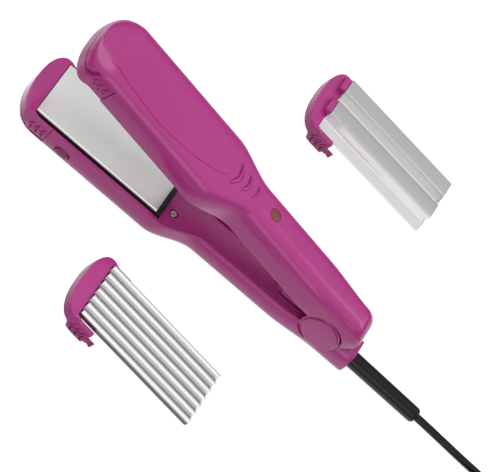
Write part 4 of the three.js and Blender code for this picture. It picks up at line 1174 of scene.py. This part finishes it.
def waverCap(cap):
    top, foot, bend = plateTop + waver["height"] / 2 - waver["endDrop"], waver["endFoot"], waver["endBend"]
    first = -plateHalf + waver["low"] + waver["wall"]
    second = first + waver["crest"] + 2 * waver["wall"] + waver["valley"]
    low, half = iron["floorTop"] - 1, plateHalf + gap
    cap = cap - box(plateFront - gap, seamX, -half, half, low, cutter["top"])
    for y0, y1 in ((first, first + waver["crest"]), (second, plateHalf - waver["edge"])):
        layers = []
        for x, inset in waver["endForm"]:
            a, b, c = y0 + inset, y1 - inset, top - inset
            outline = [(a, foot), (b, foot)]
            outline += arc(b - bend, c - bend, bend, 0, 90, 10) + arc(a + bend, c - bend, bend, 90, 180, 10)
            layers.append((plateFront + x, outline))
        cap = cap + stack("X", layers)
    return cap


lowerCap = capBody(False)
crimpCap, waverCapBody = withLedge(lowerCap, ledge["crimp"]), withLedge(waverCap(lowerCap), ledge["waver"])
finished("lowerTipCap", lowerCap, "lower_plate_unit", "shell", ["lower_tip_cap"])
finished("upperTipCap", capBody(True), "upper_plate_unit", "shell", ["upper_tip_cap"], upperPlace)
finished("crimpTipCap", crimpCap, "crimp_unit", "shell", ["crimp_tip_cap"], crimpPlace)
finished("waverTipCap", waverCapBody, "waver_unit", "shell", ["waver_tip_cap"], waverPlace)

slider = {
    "x": -26.3,
    "length": 21,
    "width": 5.2,
    "travel": 5,
    "proud": 0.3,
    "stem": (6, 2.6),
    "well": 11,
    "wellMargins": (1.6, 1),  # from the slider's front and rear ends
    "depth": 2,
    "rim": 0.5,
    "rimFoot": (1, 3.2),  # depth in the cover and how much wider than the well
    "rimForm": ((-0.35, 3.0), (-0.1, 2.75), (0, 2.4)),  # height from its top and how much wider than the well
    "wellForm": ((-0.5, 0), (-0.15, 0.15), (0.02, 0.6), (4, 0.7)),
    "form": ((-0.9, 0), (-0.45, 0.25), (-0.15, 0.8), (0, 1.6)),  # height from its top and how much smaller
}
coverTop = iron["gripRim"] - cover["sink"]
screwSeat = {  # how much wider than the screw's head
    "room": 0.7,
    "rounding": ((0.7, 0.1), (1.1, 0.6)),  # with the height above the cover's face
    "mouth": 1.4,
}


def screwSeats(body, upper):  # the sunk seats of a handle cover's two screws
    rim = armSection(screw["x"], upper)["rim"]
    face, past = rim - cover["sink"], rim + cutter["past"]
    profile = [(screwSeat["room"], face - screw["sink"])]
    profile += [(u, face + v) for u, v in screwSeat["rounding"]] + [(screwSeat["mouth"], past)]
    profile = [(screw["radius"] + u, z) for u, z in profile]
    for side in (-1, 1):
        x, y = screw["x"], side * screw["y"]
        body = body - lathe("Z", profile, x, y, 40) - drum("Z", screw["bore"], 0, past, x, y, 24)
    return body


def lowerCover():
    ahead, behind = slider["wellMargins"]
    front = slider["x"] - slider["length"] / 2 - slider["travel"] - ahead
    rear = slider["x"] + slider["length"] / 2 + behind
    top = coverTop + cover["crown"] + slider["rim"]

    def racetrack(levels):
        length, middle, wide = rear - front, (front + rear) / 2, slider["well"]
        return stack("Z", [(z, stadium(length + grow, wide + grow, middle, 0, 24)) for z, grow in levels])

    sunk, wider = slider["rimFoot"]
    rim = [(coverTop - sunk, wider)] + [(top + v, grow) for v, grow in slider["rimForm"]]
    well = [(coverTop - slider["depth"], 0)] + [(top + v, grow) for v, grow in slider["wellForm"]]
    body = screwSeats(coverBody(False), False) + racetrack(rim) - racetrack(well)
    length, width = (size + 2 * gap for size in slider["stem"])
    slot = stadium(length + slider["travel"], width, slider["x"] - slider["travel"] / 2, 0)
    return body - prism("Z", slot, 5, coverTop)


def upperCover():
    body, outer = screwSeats(coverBody(True), True), hinge["earInner"] - hinge["knuckleGap"]
    for side in (-1, 1):
        body = body - sideDrum(side, hinge["disc"] + hinge["margin"], outer, hinge["outside"])
    return body


def sliderBody():
    x, top = slider["x"], coverTop + slider["proud"]
    floor = coverTop - slider["depth"] + gap
    layers = [(floor, 0)] + [(top + v, smaller) for v, smaller in slider["form"]]
    body = stack("Z", [(z, stadium(slider["length"] - d, slider["width"] - d, x, 0, 20)) for z, d in layers])
    return body + prism("Z", stadium(*slider["stem"], x, 0), coverTop - cover["thick"], floor + 0.5)


def panScrew(upper, side):  # a round head with a cross slot
    seat = armSection(screw["x"], upper)["rim"] - cover["sink"] - screw["sink"] + gap
    r, h, shank, x, y = screw["radius"], screw["height"], screw["shank"], screw["x"], side * screw["y"]
    (inset, bevel), (long, thin) = screw["foot"], screw["slot"]
    profile = [(shank, seat - screw["length"]), (shank, seat), (r - inset, seat), (r, seat + bevel)]
    profile += [(r * c, seat + h * d) for c, d in screw["head"]]
    low, high = seat + screw["slotFoot"] * h, seat + h + 1
    body = lathe("Z", profile, x, y, 48) - box(x - long, x + long, y - thin, y + thin, low, high)
    return body - box(x - thin, x + thin, y - long, y + long, low, high)


finished("lowerCover", lowerCover(), "lower_arm", "inner_cover", ["lower_handle_cover"])
finished("upperCover", upperCover(), "upper_arm", "inner_cover", ["upper_handle_cover"], upperPlace)
# The slider's finish is painted pale, painted light against the shade of its well.
finished("onOffSlider", sliderBody(), "slider", "shell", ["power_slider"], look="slider")
for side, word in ((-1, "left"), (1, "right")):
    for arm, upper, place in (("lower", False, Matrix()), ("upper", True, upperPlace)):
        name, replaced = arm + "Screw" + word.title(), [arm + "_cover_screw_" + word]
        finished(name, panScrew(upper, side), arm + "_arm", "steel", replaced, place)

plate = {
    "sheet": 1.3,
    "flange": 2.1,
    "bend": 1.3,
    "innerBend": 0.3,
    "waves": 6.5,
    "depth": 3.6,
    "skirt": 1.2,  # of the crimping plate's sides, below the flange
}


def sheet(profile):  # the cross-section of a sheet whose upper face follows a profile
    low = []
    for i, (y, z) in enumerate(profile):
        (y0, z0), (y1, z1) = profile[max(0, i - 1)], profile[min(len(profile) - 1, i + 1)]
        run = math.hypot(y1 - y0, z1 - z0)
        low.append((y + (z1 - z0) / run * plate["sheet"], z - (y1 - y0) / run * plate["sheet"]))
    return profile + low[::-1]


def alongPlate(outline):
    return stack("X", [(x, outline) for x in (plateFront, plateFront + 1, plateRear - 1, plateRear)])


def flatPlate():
    b, r, t, z, half = plate["bend"], plate["innerBend"], plate["sheet"], plateTop, plateHalf
    low = z - plate["flange"]
    outer = arc(-half + b, z - b, b, 180, 90, 8) + arc(half - b, z - b, b, 90, 0, 8)
    inner = arc(half - t - r, z - t - r, r, 0, 90, 4) + arc(-half + t + r, z - t - r, r, 90, 180, 4)
    return alongPlate([(-half, low)] + outer + [(half, low), (half - t, low)] + inner + [(-half + t, low)])


waveSizes = {
    "Length": float(iron["plateLength"]),
    "Width": 2.0 * plateHalf,
    "Waves": plate["waves"],
    "Depth": plate["depth"],
    "Thickness": plate["sheet"],
}


def waveTree():  # a sheet whose section is a sine wave
    tree = NodeTree("waveSheet")
    for name, value in waveSizes.items():
        tree.input(name, "NodeSocketFloat", value)
    tree.input("Finish", "NodeSocketMaterial")
    given = tree.start.outputs

    def sums(operation, a, b=0.0):
        return tree.node("ShaderNodeMath", {0: a, 1: b}, {"operation": operation})[0]

    grid = tree.node(
        "GeometryNodeMeshGrid",
        {"Size X": given["Length"], "Size Y": given["Width"], "Vertices X": 5, "Vertices Y": 193},
    )
    place = tree.node("GeometryNodeInputPosition")
    parts = tree.node("ShaderNodeSeparateXYZ", {0: place[0]})
    along = sums("ADD", sums("DIVIDE", parts["Y"], given["Width"]), 0.5)
    angle = sums("MULTIPLY", sums("MULTIPLY", along, given["Waves"]), 2 * math.pi)
    height = sums("MULTIPLY", sums("SINE", angle), sums("MULTIPLY", given["Depth"], 0.5))
    lift = tree.node("ShaderNodeCombineXYZ", {"Z": height})
    waved = tree.node("GeometryNodeSetPosition", {"Geometry": grid["Mesh"], "Offset": lift[0]})
    down = tree.node("ShaderNodeCombineXYZ", {"Z": sums("MULTIPLY", given["Thickness"], -1.0)})
    thick = tree.node(
        "GeometryNodeExtrudeMesh",
        {"Mesh": waved["Geometry"], "Offset": down[0], "Individual": False},
        {"mode": "FACES"},
    )
    joined = tree.node("GeometryNodeJoinGeometry")
    join = joined[0].node.inputs[0]
    tree.group.links.new(thick["Mesh"], join)
    tree.group.links.new(tree.node("GeometryNodeFlipFaces", {"Mesh": waved["Geometry"]})[0], join)
    merged = tree.node("GeometryNodeMergeByDistance", {"Geometry": joined[0], "Distance": 0.001})
    return tree.ended(merged[0])


def waveSheet():
    made = grown(waveTree(), {**waveSizes, "Finish": finishes["plate"]})
    made.transform(Matrix.Translation(((plateFront + plateRear) / 2, 0, plateTop)))
    turned = bmesh.new()
    turned.from_mesh(made)
    bmesh.ops.recalc_face_normals(turned, faces=turned.faces)
    turned.to_mesh(made)
    turned.free()
    return Solid(made)


def crimpPlate():
    base = plateTop - plate["flange"] - plate["sheet"] - plate["skirt"]
    made = waveSheet()
    for side in (-1, 1):
        y0, y1 = spread(side * plateHalf, side * (plateHalf - plate["sheet"]))
        made = made + box(plateFront, plateRear, y0, y1, base, plateTop - 0.4)
    return made


def waverPlate():
    low, high = plateTop - waver["height"] / 2, plateTop + waver["height"] / 2
    edge, wall, bend, half = waver["edge"], waver["wall"], waver["bend"], plateHalf
    y = -half + edge
    corners = [(y, low)]
    for run, z in (
        (waver["low"] - edge, low), (wall, high), (waver["crest"], high), (wall, low),
        (waver["valley"], low), (wall, high), (waver["crest"] - edge, high),
    ):
        y += run
        corners.append((y, z))
    points = [(-half, low - plate["flange"]), (-half, low - 0.9), (-half + 0.15, low - 0.3)]
    points.append((corners[0][0] + 0.1, low))
    for before, corner, after in zip(corners, corners[1:], corners[2:]):
        middle = Vector(corner)
        a, b = (Vector(before) - middle).normalized(), (Vector(after) - middle).normalized()
        for t in (i / 8 for i in range(9)):
            points.append(tuple(middle + a * bend * (1 - t) ** 2 + b * bend * t * t))
    points += [(half - 0.6, high), (half - 0.15, high - 0.3), (half, high - 0.9)]
    return alongPlate(sheet(points + [(half, high - plate["flange"])]))


finished("lowerFlatPlate", flatPlate(), "lower_plate_unit", "plate", ["lower_flat_plate"])
finished("upperFlatPlate", flatPlate(), "upper_plate_unit", "plate", ["upper_flat_plate"], upperPlace)


def heights(place, low, high):  # the way up of a placed unit, and two of its heights along it
    up = (place.to_3x3() @ Vector((0, 0, 1))).normalized()
    return up, (place @ Vector((0, 0, low))).dot(up) * mm, (place @ Vector((0, 0, high))).dot(up) * mm


crest = plate["depth"] / 2
# The crimping plate is painted dark down in its valleys, painted shade, fading to its own tone up the ridges.
finishes["crimp"] = satinMetal(
    "satin crimp plate with painted valley shade", colour(226, 226, 225), 0.26, colour(128, 129, 130),
    heights(crimpPlace, plateTop - crest, plateTop - crest * 0.35),
)
shelf = waver["height"] / 2
# The waving plate is painted light below its crest tops and grey on them: a painted reflection on its slopes,
# valleys and flat tops.
finishes["waver"] = satinMetal(
    "satin waver plate with painted reflection", colour(208, 208, 208), 0.3, colour(242, 242, 242),
    heights(waverPlace, plateTop + shelf - 1.6, plateTop + shelf - 0.5),
)
finished("crimpPlate", crimpPlate(), "crimp_unit", "plate", ["crimp_plate"], crimpPlace, "crimp")
finished("waverPlate", waverPlate(), "waver_unit", "plate", ["waver_plate"], waverPlace, "waver")

carrier = {
    "front": plateFront + 2,
    "top": 23.6,
    "edge": 0.6,
    "base": iron["floorTop"] + gap,
    "foot": footHalf - 3,
    "wall": 1.6,
    "ends": (3, 4.3),  # thickness of its front and rear walls
    "floor": 8,
    "rest": 18,  # height at which the heat block's room widens
    "chamfer": 0.9,
}


def carrierBody():
    front, rear, half, over = carrier["front"], carrierRear, carrierHalf, cutter["top"]
    foot, top, edge, step = carrier["foot"], carrier["top"], carrier["edge"], iron["step"]
    right = [(foot, carrier["base"]), (foot, step), (half, step)]
    right += arc(half - edge, top - edge, edge, 0, 90, 6)
    body = prism("X", mirrored(right), front, rear)
    frontWall, rearWall = carrier["ends"]
    inside, seat = foot - carrier["wall"], plateHalf - plate["sheet"]
    body = body - box(front + frontWall, rear - rearWall, -inside, inside, carrier["floor"], over)
    body = body - box(front - 1, plateRear + gap, -seat, seat, carrier["rest"], over)
    flange = plateTop - plate["flange"] - gap
    body = body - box(front - 1, plateRear + gap, -plateHalf - 1, plateHalf + 1, flange, over)
    slope = carrier["chamfer"]
    wedge = [(rear - slope, top + 0.02), (rear + 0.1, top + 0.02), (rear + 0.1, top - slope)]
    wireWay = drum("X", iron["wireBore"], rear - 6, rear + 1, 0, iron["wireHeight"], 24)
    return body - prism("Y", wedge, -half - 1, half + 1) - wireWay


finished("lowerCarrier", carrierBody(), "lower_arm", "carrier", ["lower_plate_carrier"])
finished("upperCarrier", carrierBody(), "upper_arm", "carrier", ["upper_plate_carrier"], upperPlace)


def releaseButton():
    face, smaller, place = -headHalf - button["proud"], button["smaller"], (button["x"], button["z"])
    length, height = button["length"], button["height"]
    layers = [(face + depth, inset) for depth, inset in button["face"]] + [(-footHalf + 1, 0)]
    body = stack("Y", [(y, stadium(length - d - smaller, height - d - smaller, *place)) for y, d in layers])
    longer, higher = button["flange"]
    flange = stadium(length + longer, height + higher, *place)
    return body + prism("Y", flange, -footHalf + gap, -footHalf + gap + button["flangeThick"])


discForm = {  # pairs of a radius and a height
    "spigot": ((0, -0.8), (4.4, -0.8), (4.4, 0)),
    "rim": ((-0.15, 0), (0, 0.1), (0, 0.3)),  # radius from the disc's edge
    "step": (  # and height from its face
        (-1.1, -0.6), (-1.5, -0.9), (-1.75, -0.9), (-1.85, -0.2), (-2.1, 0), (-9, 0),
    ),
}


def hingeDisc(side):
    r, t = hinge["disc"], hinge["discThick"]
    profile = [*discForm["spigot"]] + [(r + u, w) for u, w in discForm["rim"]]
    profile += [(r + u, t + w) for u, w in discForm["step"]] + [(0, t)]
    if side < 0:
        profile = [(radius, -w) for radius, w in profile][::-1]
    return lathe("Y", [(radius, side * discInner + w) for radius, w in profile], 0, axisZ, 96)


def indicatorLens():
    face, r = armSection(lens["x"], True)["floor"], lens["radius"]
    profile = [(0, lens["form"][0][1])] + [(r + u, w) for u, w in lens["form"]]
    profile += [(r * share, w) for share, w in lens["crown"]]
    return lathe("Z", [(radius, face + w) for radius, w in profile[::-1]], lens["x"], 0, 64)


def strainRelief():  # level in the collar and drooping behind it
    r, z, x0 = sleeve["diameter"] / 2, sleeve["z"], sleeve["collar"]
    (front, rear), flange = sleeve["flangePlaces"], sleeve["flange"]
    plan = [(front, flange), (rear, flange), (rear, 0), (x0 - 2, 0)] + [(x0 + t, 0) for t in (2, 12, 30, 48)]
    plan += [(x0 + sleeve["length"] - d, -w) for d, w in sleeve["end"]]
    rings = []
    for x, grow in plan:
        along = max(0, x - x0)
        radius = r + (grow - sleeve["taper"] * along / sleeve["length"])
        droop = sleeve["droop"] if along else 0
        middle = Vector((min(x, x0), 0, z)) + Vector((math.cos(droop), 0, -math.sin(droop))) * along
        up = Vector((math.sin(droop), 0, math.cos(droop)))
        rings.append([
            middle + Vector((0, 1, 0)) * radius * math.cos(a) + up * radius * math.sin(a)
            for a in (2 * math.pi * j / 72 for j in range(72))
        ])
    return loft(rings)


# The buttons' finish is painted dark, painted shade of their recess.
for arm, place in (("lower", Matrix()), ("upper", upperPlace)):
    replaced = [arm + "_release_button"]
    finished(arm + "Button", releaseButton(), arm + "_release", "shell", replaced, place, "button")
finished("nearDisc", hingeDisc(-1), "lower_arm", "shell", ["hinge_disc_near"])
finished("farDisc", hingeDisc(1), "lower_arm", "shell", ["hinge_disc_far"])
finished("indicatorLens", indicatorLens(), "upper_arm", "lens", ["indicator_lens"], upperPlace)
finished("strainRelief", strainRelief(), "lower_arm", "lead", ["strain_relief"])


lead = {
    "diameter": 6,
    "length": 1830,
    "sleeveEnd": (93.94, 7.252),  # x and z
    "pulls": (26, 34, 0.1),  # behind the sleeve, before the coil, and how far the second lies below the coil
    "steps": 24,  # of the free stretch
    "turnSteps": 36,
    "coilStart": 178,
    "pitch": 6.6,
    "turns": 7.5,
    "tail": 32,
    "tie": 0.6,
    "tieWidth": 8,
    "tieBend": (1.6, 1),  # outside and inside
    "sag": 0.8,  # share of its radius that stands clear of the tie's lower band
    "gap": 0.3,
}
coilLow = lead["diameter"] / 2 * lead["sag"] + lead["tie"] + lead["gap"]


def bezier(a, b, c, d, t):
    return a * (1 - t) ** 3 + b * 3 * t * (1 - t) ** 2 + c * 3 * t * t * (1 - t) + d * t ** 3


def lengthOf(points):
    return sum((q - p).length for p, q in zip(points, points[1:]))


def leadPoints():  # the free stretch, then a coil of two layers and its straight end
    d, gap, low = lead["diameter"], lead["gap"], coilLow
    way = Vector((math.cos(sleeve["droop"]), 0, -math.sin(sleeve["droop"])))
    start = Vector((lead["sleeveEnd"][0], 0, lead["sleeveEnd"][1])) + way * gap
    end = Vector((lead["coilStart"] - d, 0, low))
    away, before, below = lead["pulls"]
    pulls = start + way * away, Vector((end.x - before, 0, low - below))
    free = [bezier(start, *pulls, end, i / lead["steps"]) for i in range(lead["steps"] + 1)]
    freeLength = lengthOf(free)
    meanRadius = (lead["length"] - freeLength - d - lead["tail"]) / (2 * math.pi * lead["turns"])
    outer = meanRadius + lead["pitch"] * lead["turns"] / 4
    points = free[:-1]
    count = round(lead["turns"] * lead["turnSteps"])
    for i in range(count + 1):
        turn = i / count * lead["turns"]
        radius = outer - lead["pitch"] * min(turn, lead["turns"] - turn)
        angle = math.pi / 2 - turn * 2 * math.pi
        climb = eased(turn, lead["turns"] / 2 - 0.5, lead["turns"] / 2 + 0.5)
        points.append(Vector((
            lead["coilStart"] + radius * math.cos(angle),
            -outer + radius * math.sin(angle),
            low + lead["pitch"] * climb,
        )))
    last = points[-1]
    points += [last - Vector((lead["tail"] * t, 0, 0)) for t in (0.33, 0.66, 1)]
    return points


leadWay = leadPoints()
coilOuter = (leadWay[lead["steps"]].y - min(p.y for p in leadWay)) / 2
plug = {
    "rear": lead["coilStart"] - lead["tail"] - lead["gap"],
    "y": -2 * coilOuter,
    "z": coilLow + lead["pitch"],
    "length": 34,
    "form": (  # distance from its rear, half width and half height
        (0, 5.2, 5.2), (5, 6, 5.8), (11, 8, 7), (18, 11.5, 9), (25, 13, 9.8), (32.5, 13, 9.8),
        (33.4, 12.6, 9.4), (34, 11.8, 8.6),
    ),
    "grooves": (4, 7, 10, 13),
    "grooveForm": (0.6, 0.8),  # depth and half width
    "blade": (18, 6.4, 1.5),  # length, width and thickness
    "bladeBevel": (0.2, 0.25),
    "bladeTip": 1.6,
    "bladeHole": (1.5, 4.5),  # radius and place from the tip
    "spacing": 12.7,
    "inset": 6,
}


def plugBody():
    depth, reach = plug["grooveForm"]
    rings = []
    for along, halfY, halfZ in throughPoints(plug["form"], 8):
        dip = sum(depth * max(0, 1 - abs(along - g) / reach) for g in plug["grooves"])
        ring = []
        for angle in (2 * math.pi * j / 64 for j in range(64)):
            y = (halfY - dip) * bowed(math.cos(angle), 0.5)
            z = (min(halfZ, plug["z"] - 0.1) - dip) * bowed(math.sin(angle), 0.5)
            ring.append((plug["rear"] - along, plug["y"] + y, plug["z"] + z))
        rings.append(ring)
    body = loft(rings)
    front = plug["rear"] - plug["length"]
    half, thick = plug["blade"][1] / 2 + lead["gap"], plug["blade"][2] / 2 + lead["gap"]
    low, high = plug["z"] - half, plug["z"] + half
    for side in (-1, 1):
        y = plug["y"] + side * plug["spacing"] / 2
        body = body - box(front - 1, front + plug["inset"], y - thick, y + thick, low, high)
    return body


def plugBlade(side):
    length, width, thick = plug["blade"]
    front, y, z = plug["rear"] - plug["length"], plug["y"] + side * plug["spacing"] / 2, plug["z"]
    (bevel, inset), r = plug["bladeBevel"], plug["bladeTip"]
    layers = []
    for w, d in ((-thick / 2, inset), (-thick / 2 + bevel, 0), (thick / 2 - bevel, 0), (thick / 2, inset)):
        x0, x1, half = front - length + d, front + plug["inset"] - lead["gap"] - d, width / 2 - d
        tip = arc(x0 + r, z + half - r, r, 90, 180, 6) + arc(x0 + r, z - half + r, r, 180, 270, 6)
        layers.append((y + w, [(x1, z - half), (x1, z + half)] + tip))
    radius, place = plug["bladeHole"]
    return stack("Y", layers) - drum("Y", radius, y - 3, y + 3, front - length + place, z, 32)


def leadTie():  # a flat band round one side of the coil
    r, middle, wide, t = lead["diameter"] / 2, -coilOuter, lead["tieWidth"], lead["tie"]
    x0 = lead["coilStart"] + coilOuter - lead["pitch"] * lead["turns"] / 2 - r - lead["gap"]
    x1 = lead["coilStart"] + coilOuter + r + lead["gap"]
    low, high = coilLow - r * lead["sag"] - lead["gap"], coilLow + lead["pitch"] + r + lead["gap"]

    def band(grow, bend, y0, y1):
        a, b, c, d = x0 - grow, x1 + grow, low - grow, high + grow
        outline = arc(b - bend, d - bend, bend, 0, 90, 6) + arc(a + bend, d - bend, bend, 90, 180, 6)
        outline += arc(a + bend, c + bend, bend, 180, 270, 6) + arc(b - bend, c + bend, bend, 270, 360, 6)
        return prism("Y", outline, y0, y1)

    outer, inner = lead["tieBend"]
    return band(t, outer, middle - wide / 2, middle + wide / 2) - band(0, inner, middle - wide, middle + wide)


plugPieces = [
    finished("mainsPlug", plugBody(), "lower_arm", "lead", ["plug"]),
    finished("plugBladeLeft", plugBlade(-1), "lower_arm", "brass", ["plug_blade_left"]),
    finished("plugBladeRight", plugBlade(1), "lower_arm", "brass", ["plug_blade_right"]),
    finished("leadTie", leadTie(), "lower_arm", "lead", ["lead_tie"]),
]


def makeLead():
    curve = bpy.data.curves.new("leadCurve", "CURVE")
    curve.dimensions = "3D"
    spline = curve.splines.new("POLY")
    spline.points.add(len(leadWay) - 1)
    for p, q in zip(spline.points, leadWay):
        p.co = (*(q * mm), 1)
    curve.bevel_depth = lead["diameter"] / 2 * mm
    curve.bevel_resolution = 5
    curve.use_fill_caps = True
    curve.materials.append(finishes["lead"])
    obj = added("mainsLead", curve)
    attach(obj, "lower_arm")
    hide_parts("lead", "lead_coil")
    tuple(leadWay[0] * mm)
    print("lead laid", round(lengthOf(leadWay), 1), "mm")


makeLead()

studio = {
    "floor": colour(180, 180, 180),
    "floorHalf": 6,
    "floorTop": -0.0002,
    "glow": 0.9,  # what the camera sees of the floor besides its own light
    "mirror": 0.55,  # what glossy pieces see of the floor beside the iron
    "aside": 1.6,  # scale of the places below, from the near side to the far side
    "sides": ((0.25, 0.1), (0.345, 1), (0.9, 1), (1.0, 0.3)),  # place and strength of the floor in the gloss
    "strip": 0.5,  # extra light of the floor close to the iron, for glossy pieces
    "stripEdge": ((0.03, 1), (0.042, 0)),
    "sky": (  # place, from straight down to straight up, and brightness
        (0.0, 0.1), (0.5, 0.12), (0.68, 0.18), (0.8, 0.62), (0.92, 0.74), (1.0, 1.1),
    ),
    "world": 1.0,
    "lamps": (  # name, power, size and place
        ("key", 12, 1.4, (-1.2, 0.6, 2.2)),
        ("fill", 11, 1.6, (0.4, -2.2, 1.0)),
        ("rim", 5, 1.0, (1.6, 1.0, 1.4)),
    ),
    "aim": (-0.08, 0, 0.02),
}


def makeFloor():
    h, z = studio["floorHalf"], studio["floorTop"]
    mesh = bpy.data.meshes.new("floor")
    mesh.from_pydata([(-h, -h, z), (h, -h, z), (h, h, z), (-h, h, z)], [], [(0, 1, 2, 3)])
    floor = added("floor", mesh)
    f = Finish("pale floor")
    diffuse = f.node("ShaderNodeBsdfDiffuse", {}, {"Color": studio["floor"]})
    aside = f.node("ShaderNodeSeparateXYZ", {}, {0: f.place}, "Y")
    near = f.ramp(aside * studio["aside"] + 0.5, studio["sides"])
    strip = f.ramp(aside.math("ABSOLUTE", 0), studio["stripEdge"])
    strength = near * studio["mirror"] + strip * studio["strip"]
    shine = f.node("ShaderNodeEmission", {}, {"Strength": strength})
    plain = f.node("ShaderNodeEmission", {}, {"Color": (1, 1, 1, 1), "Strength": studio["glow"]})
    rays = ("Is Camera Ray", "Is Glossy Ray", "Is Transmission Ray")
    direct, glossy, through = (f.node("ShaderNodeLightPath", {}, {}, ray) for ray in rays)
    straight = direct.math("MAXIMUM", through)
    seen = straight.math("MAXIMUM", glossy)
    glow = f.node("ShaderNodeMixShader", {}, {0: straight, 1: shine, 2: plain})
    both = f.node("ShaderNodeAddShader", {}, {0: diffuse, 1: glow})
    shader = f.node("ShaderNodeMixShader", {}, {0: seen, 1: diffuse, 2: both})
    floor.data.materials.append(f.ended(shader))


def makeSky():
    world = bpy.data.worlds.new("studio")
    world.use_nodes = True
    sky, wires = world.node_tree.nodes, world.node_tree.links
    way = sky.new("ShaderNodeTexCoord")
    height = sky.new("ShaderNodeSeparateXYZ")
    share = sky.new("ShaderNodeMapRange")
    share.inputs["From Min"].default_value = -1
    tone = sky.new("ShaderNodeValToRGB")
    setStops(tone, studio["sky"])
    background = sky["Background"]
    background.inputs["Strength"].default_value = studio["world"]
    for start, end in (
        (way.outputs["Generated"], height.inputs[0]),
        (height.outputs["Z"], share.inputs["Value"]),
        (share.outputs["Result"], tone.inputs["Fac"]),
        (tone.outputs["Color"], background.inputs["Color"]),
    ):
        wires.new(start, end)
    bpy.context.scene.world = world


def makeLamps():
    for name, power, size, place in studio["lamps"]:
        data = bpy.data.lights.new(name, "AREA")
        data.energy, data.size = power, size
        lamp = added(name, data)
        lamp.location = place
        aim = Vector(studio["aim"]) - lamp.location
        lamp.rotation_euler = aim.to_track_quat("-Z", "Y").to_euler()


makeFloor()
makeSky()
makeLamps()
bpy.context.scene.view_settings.view_transform = "Standard"
print("floor, sky and lamps placed")

print("scene finished")
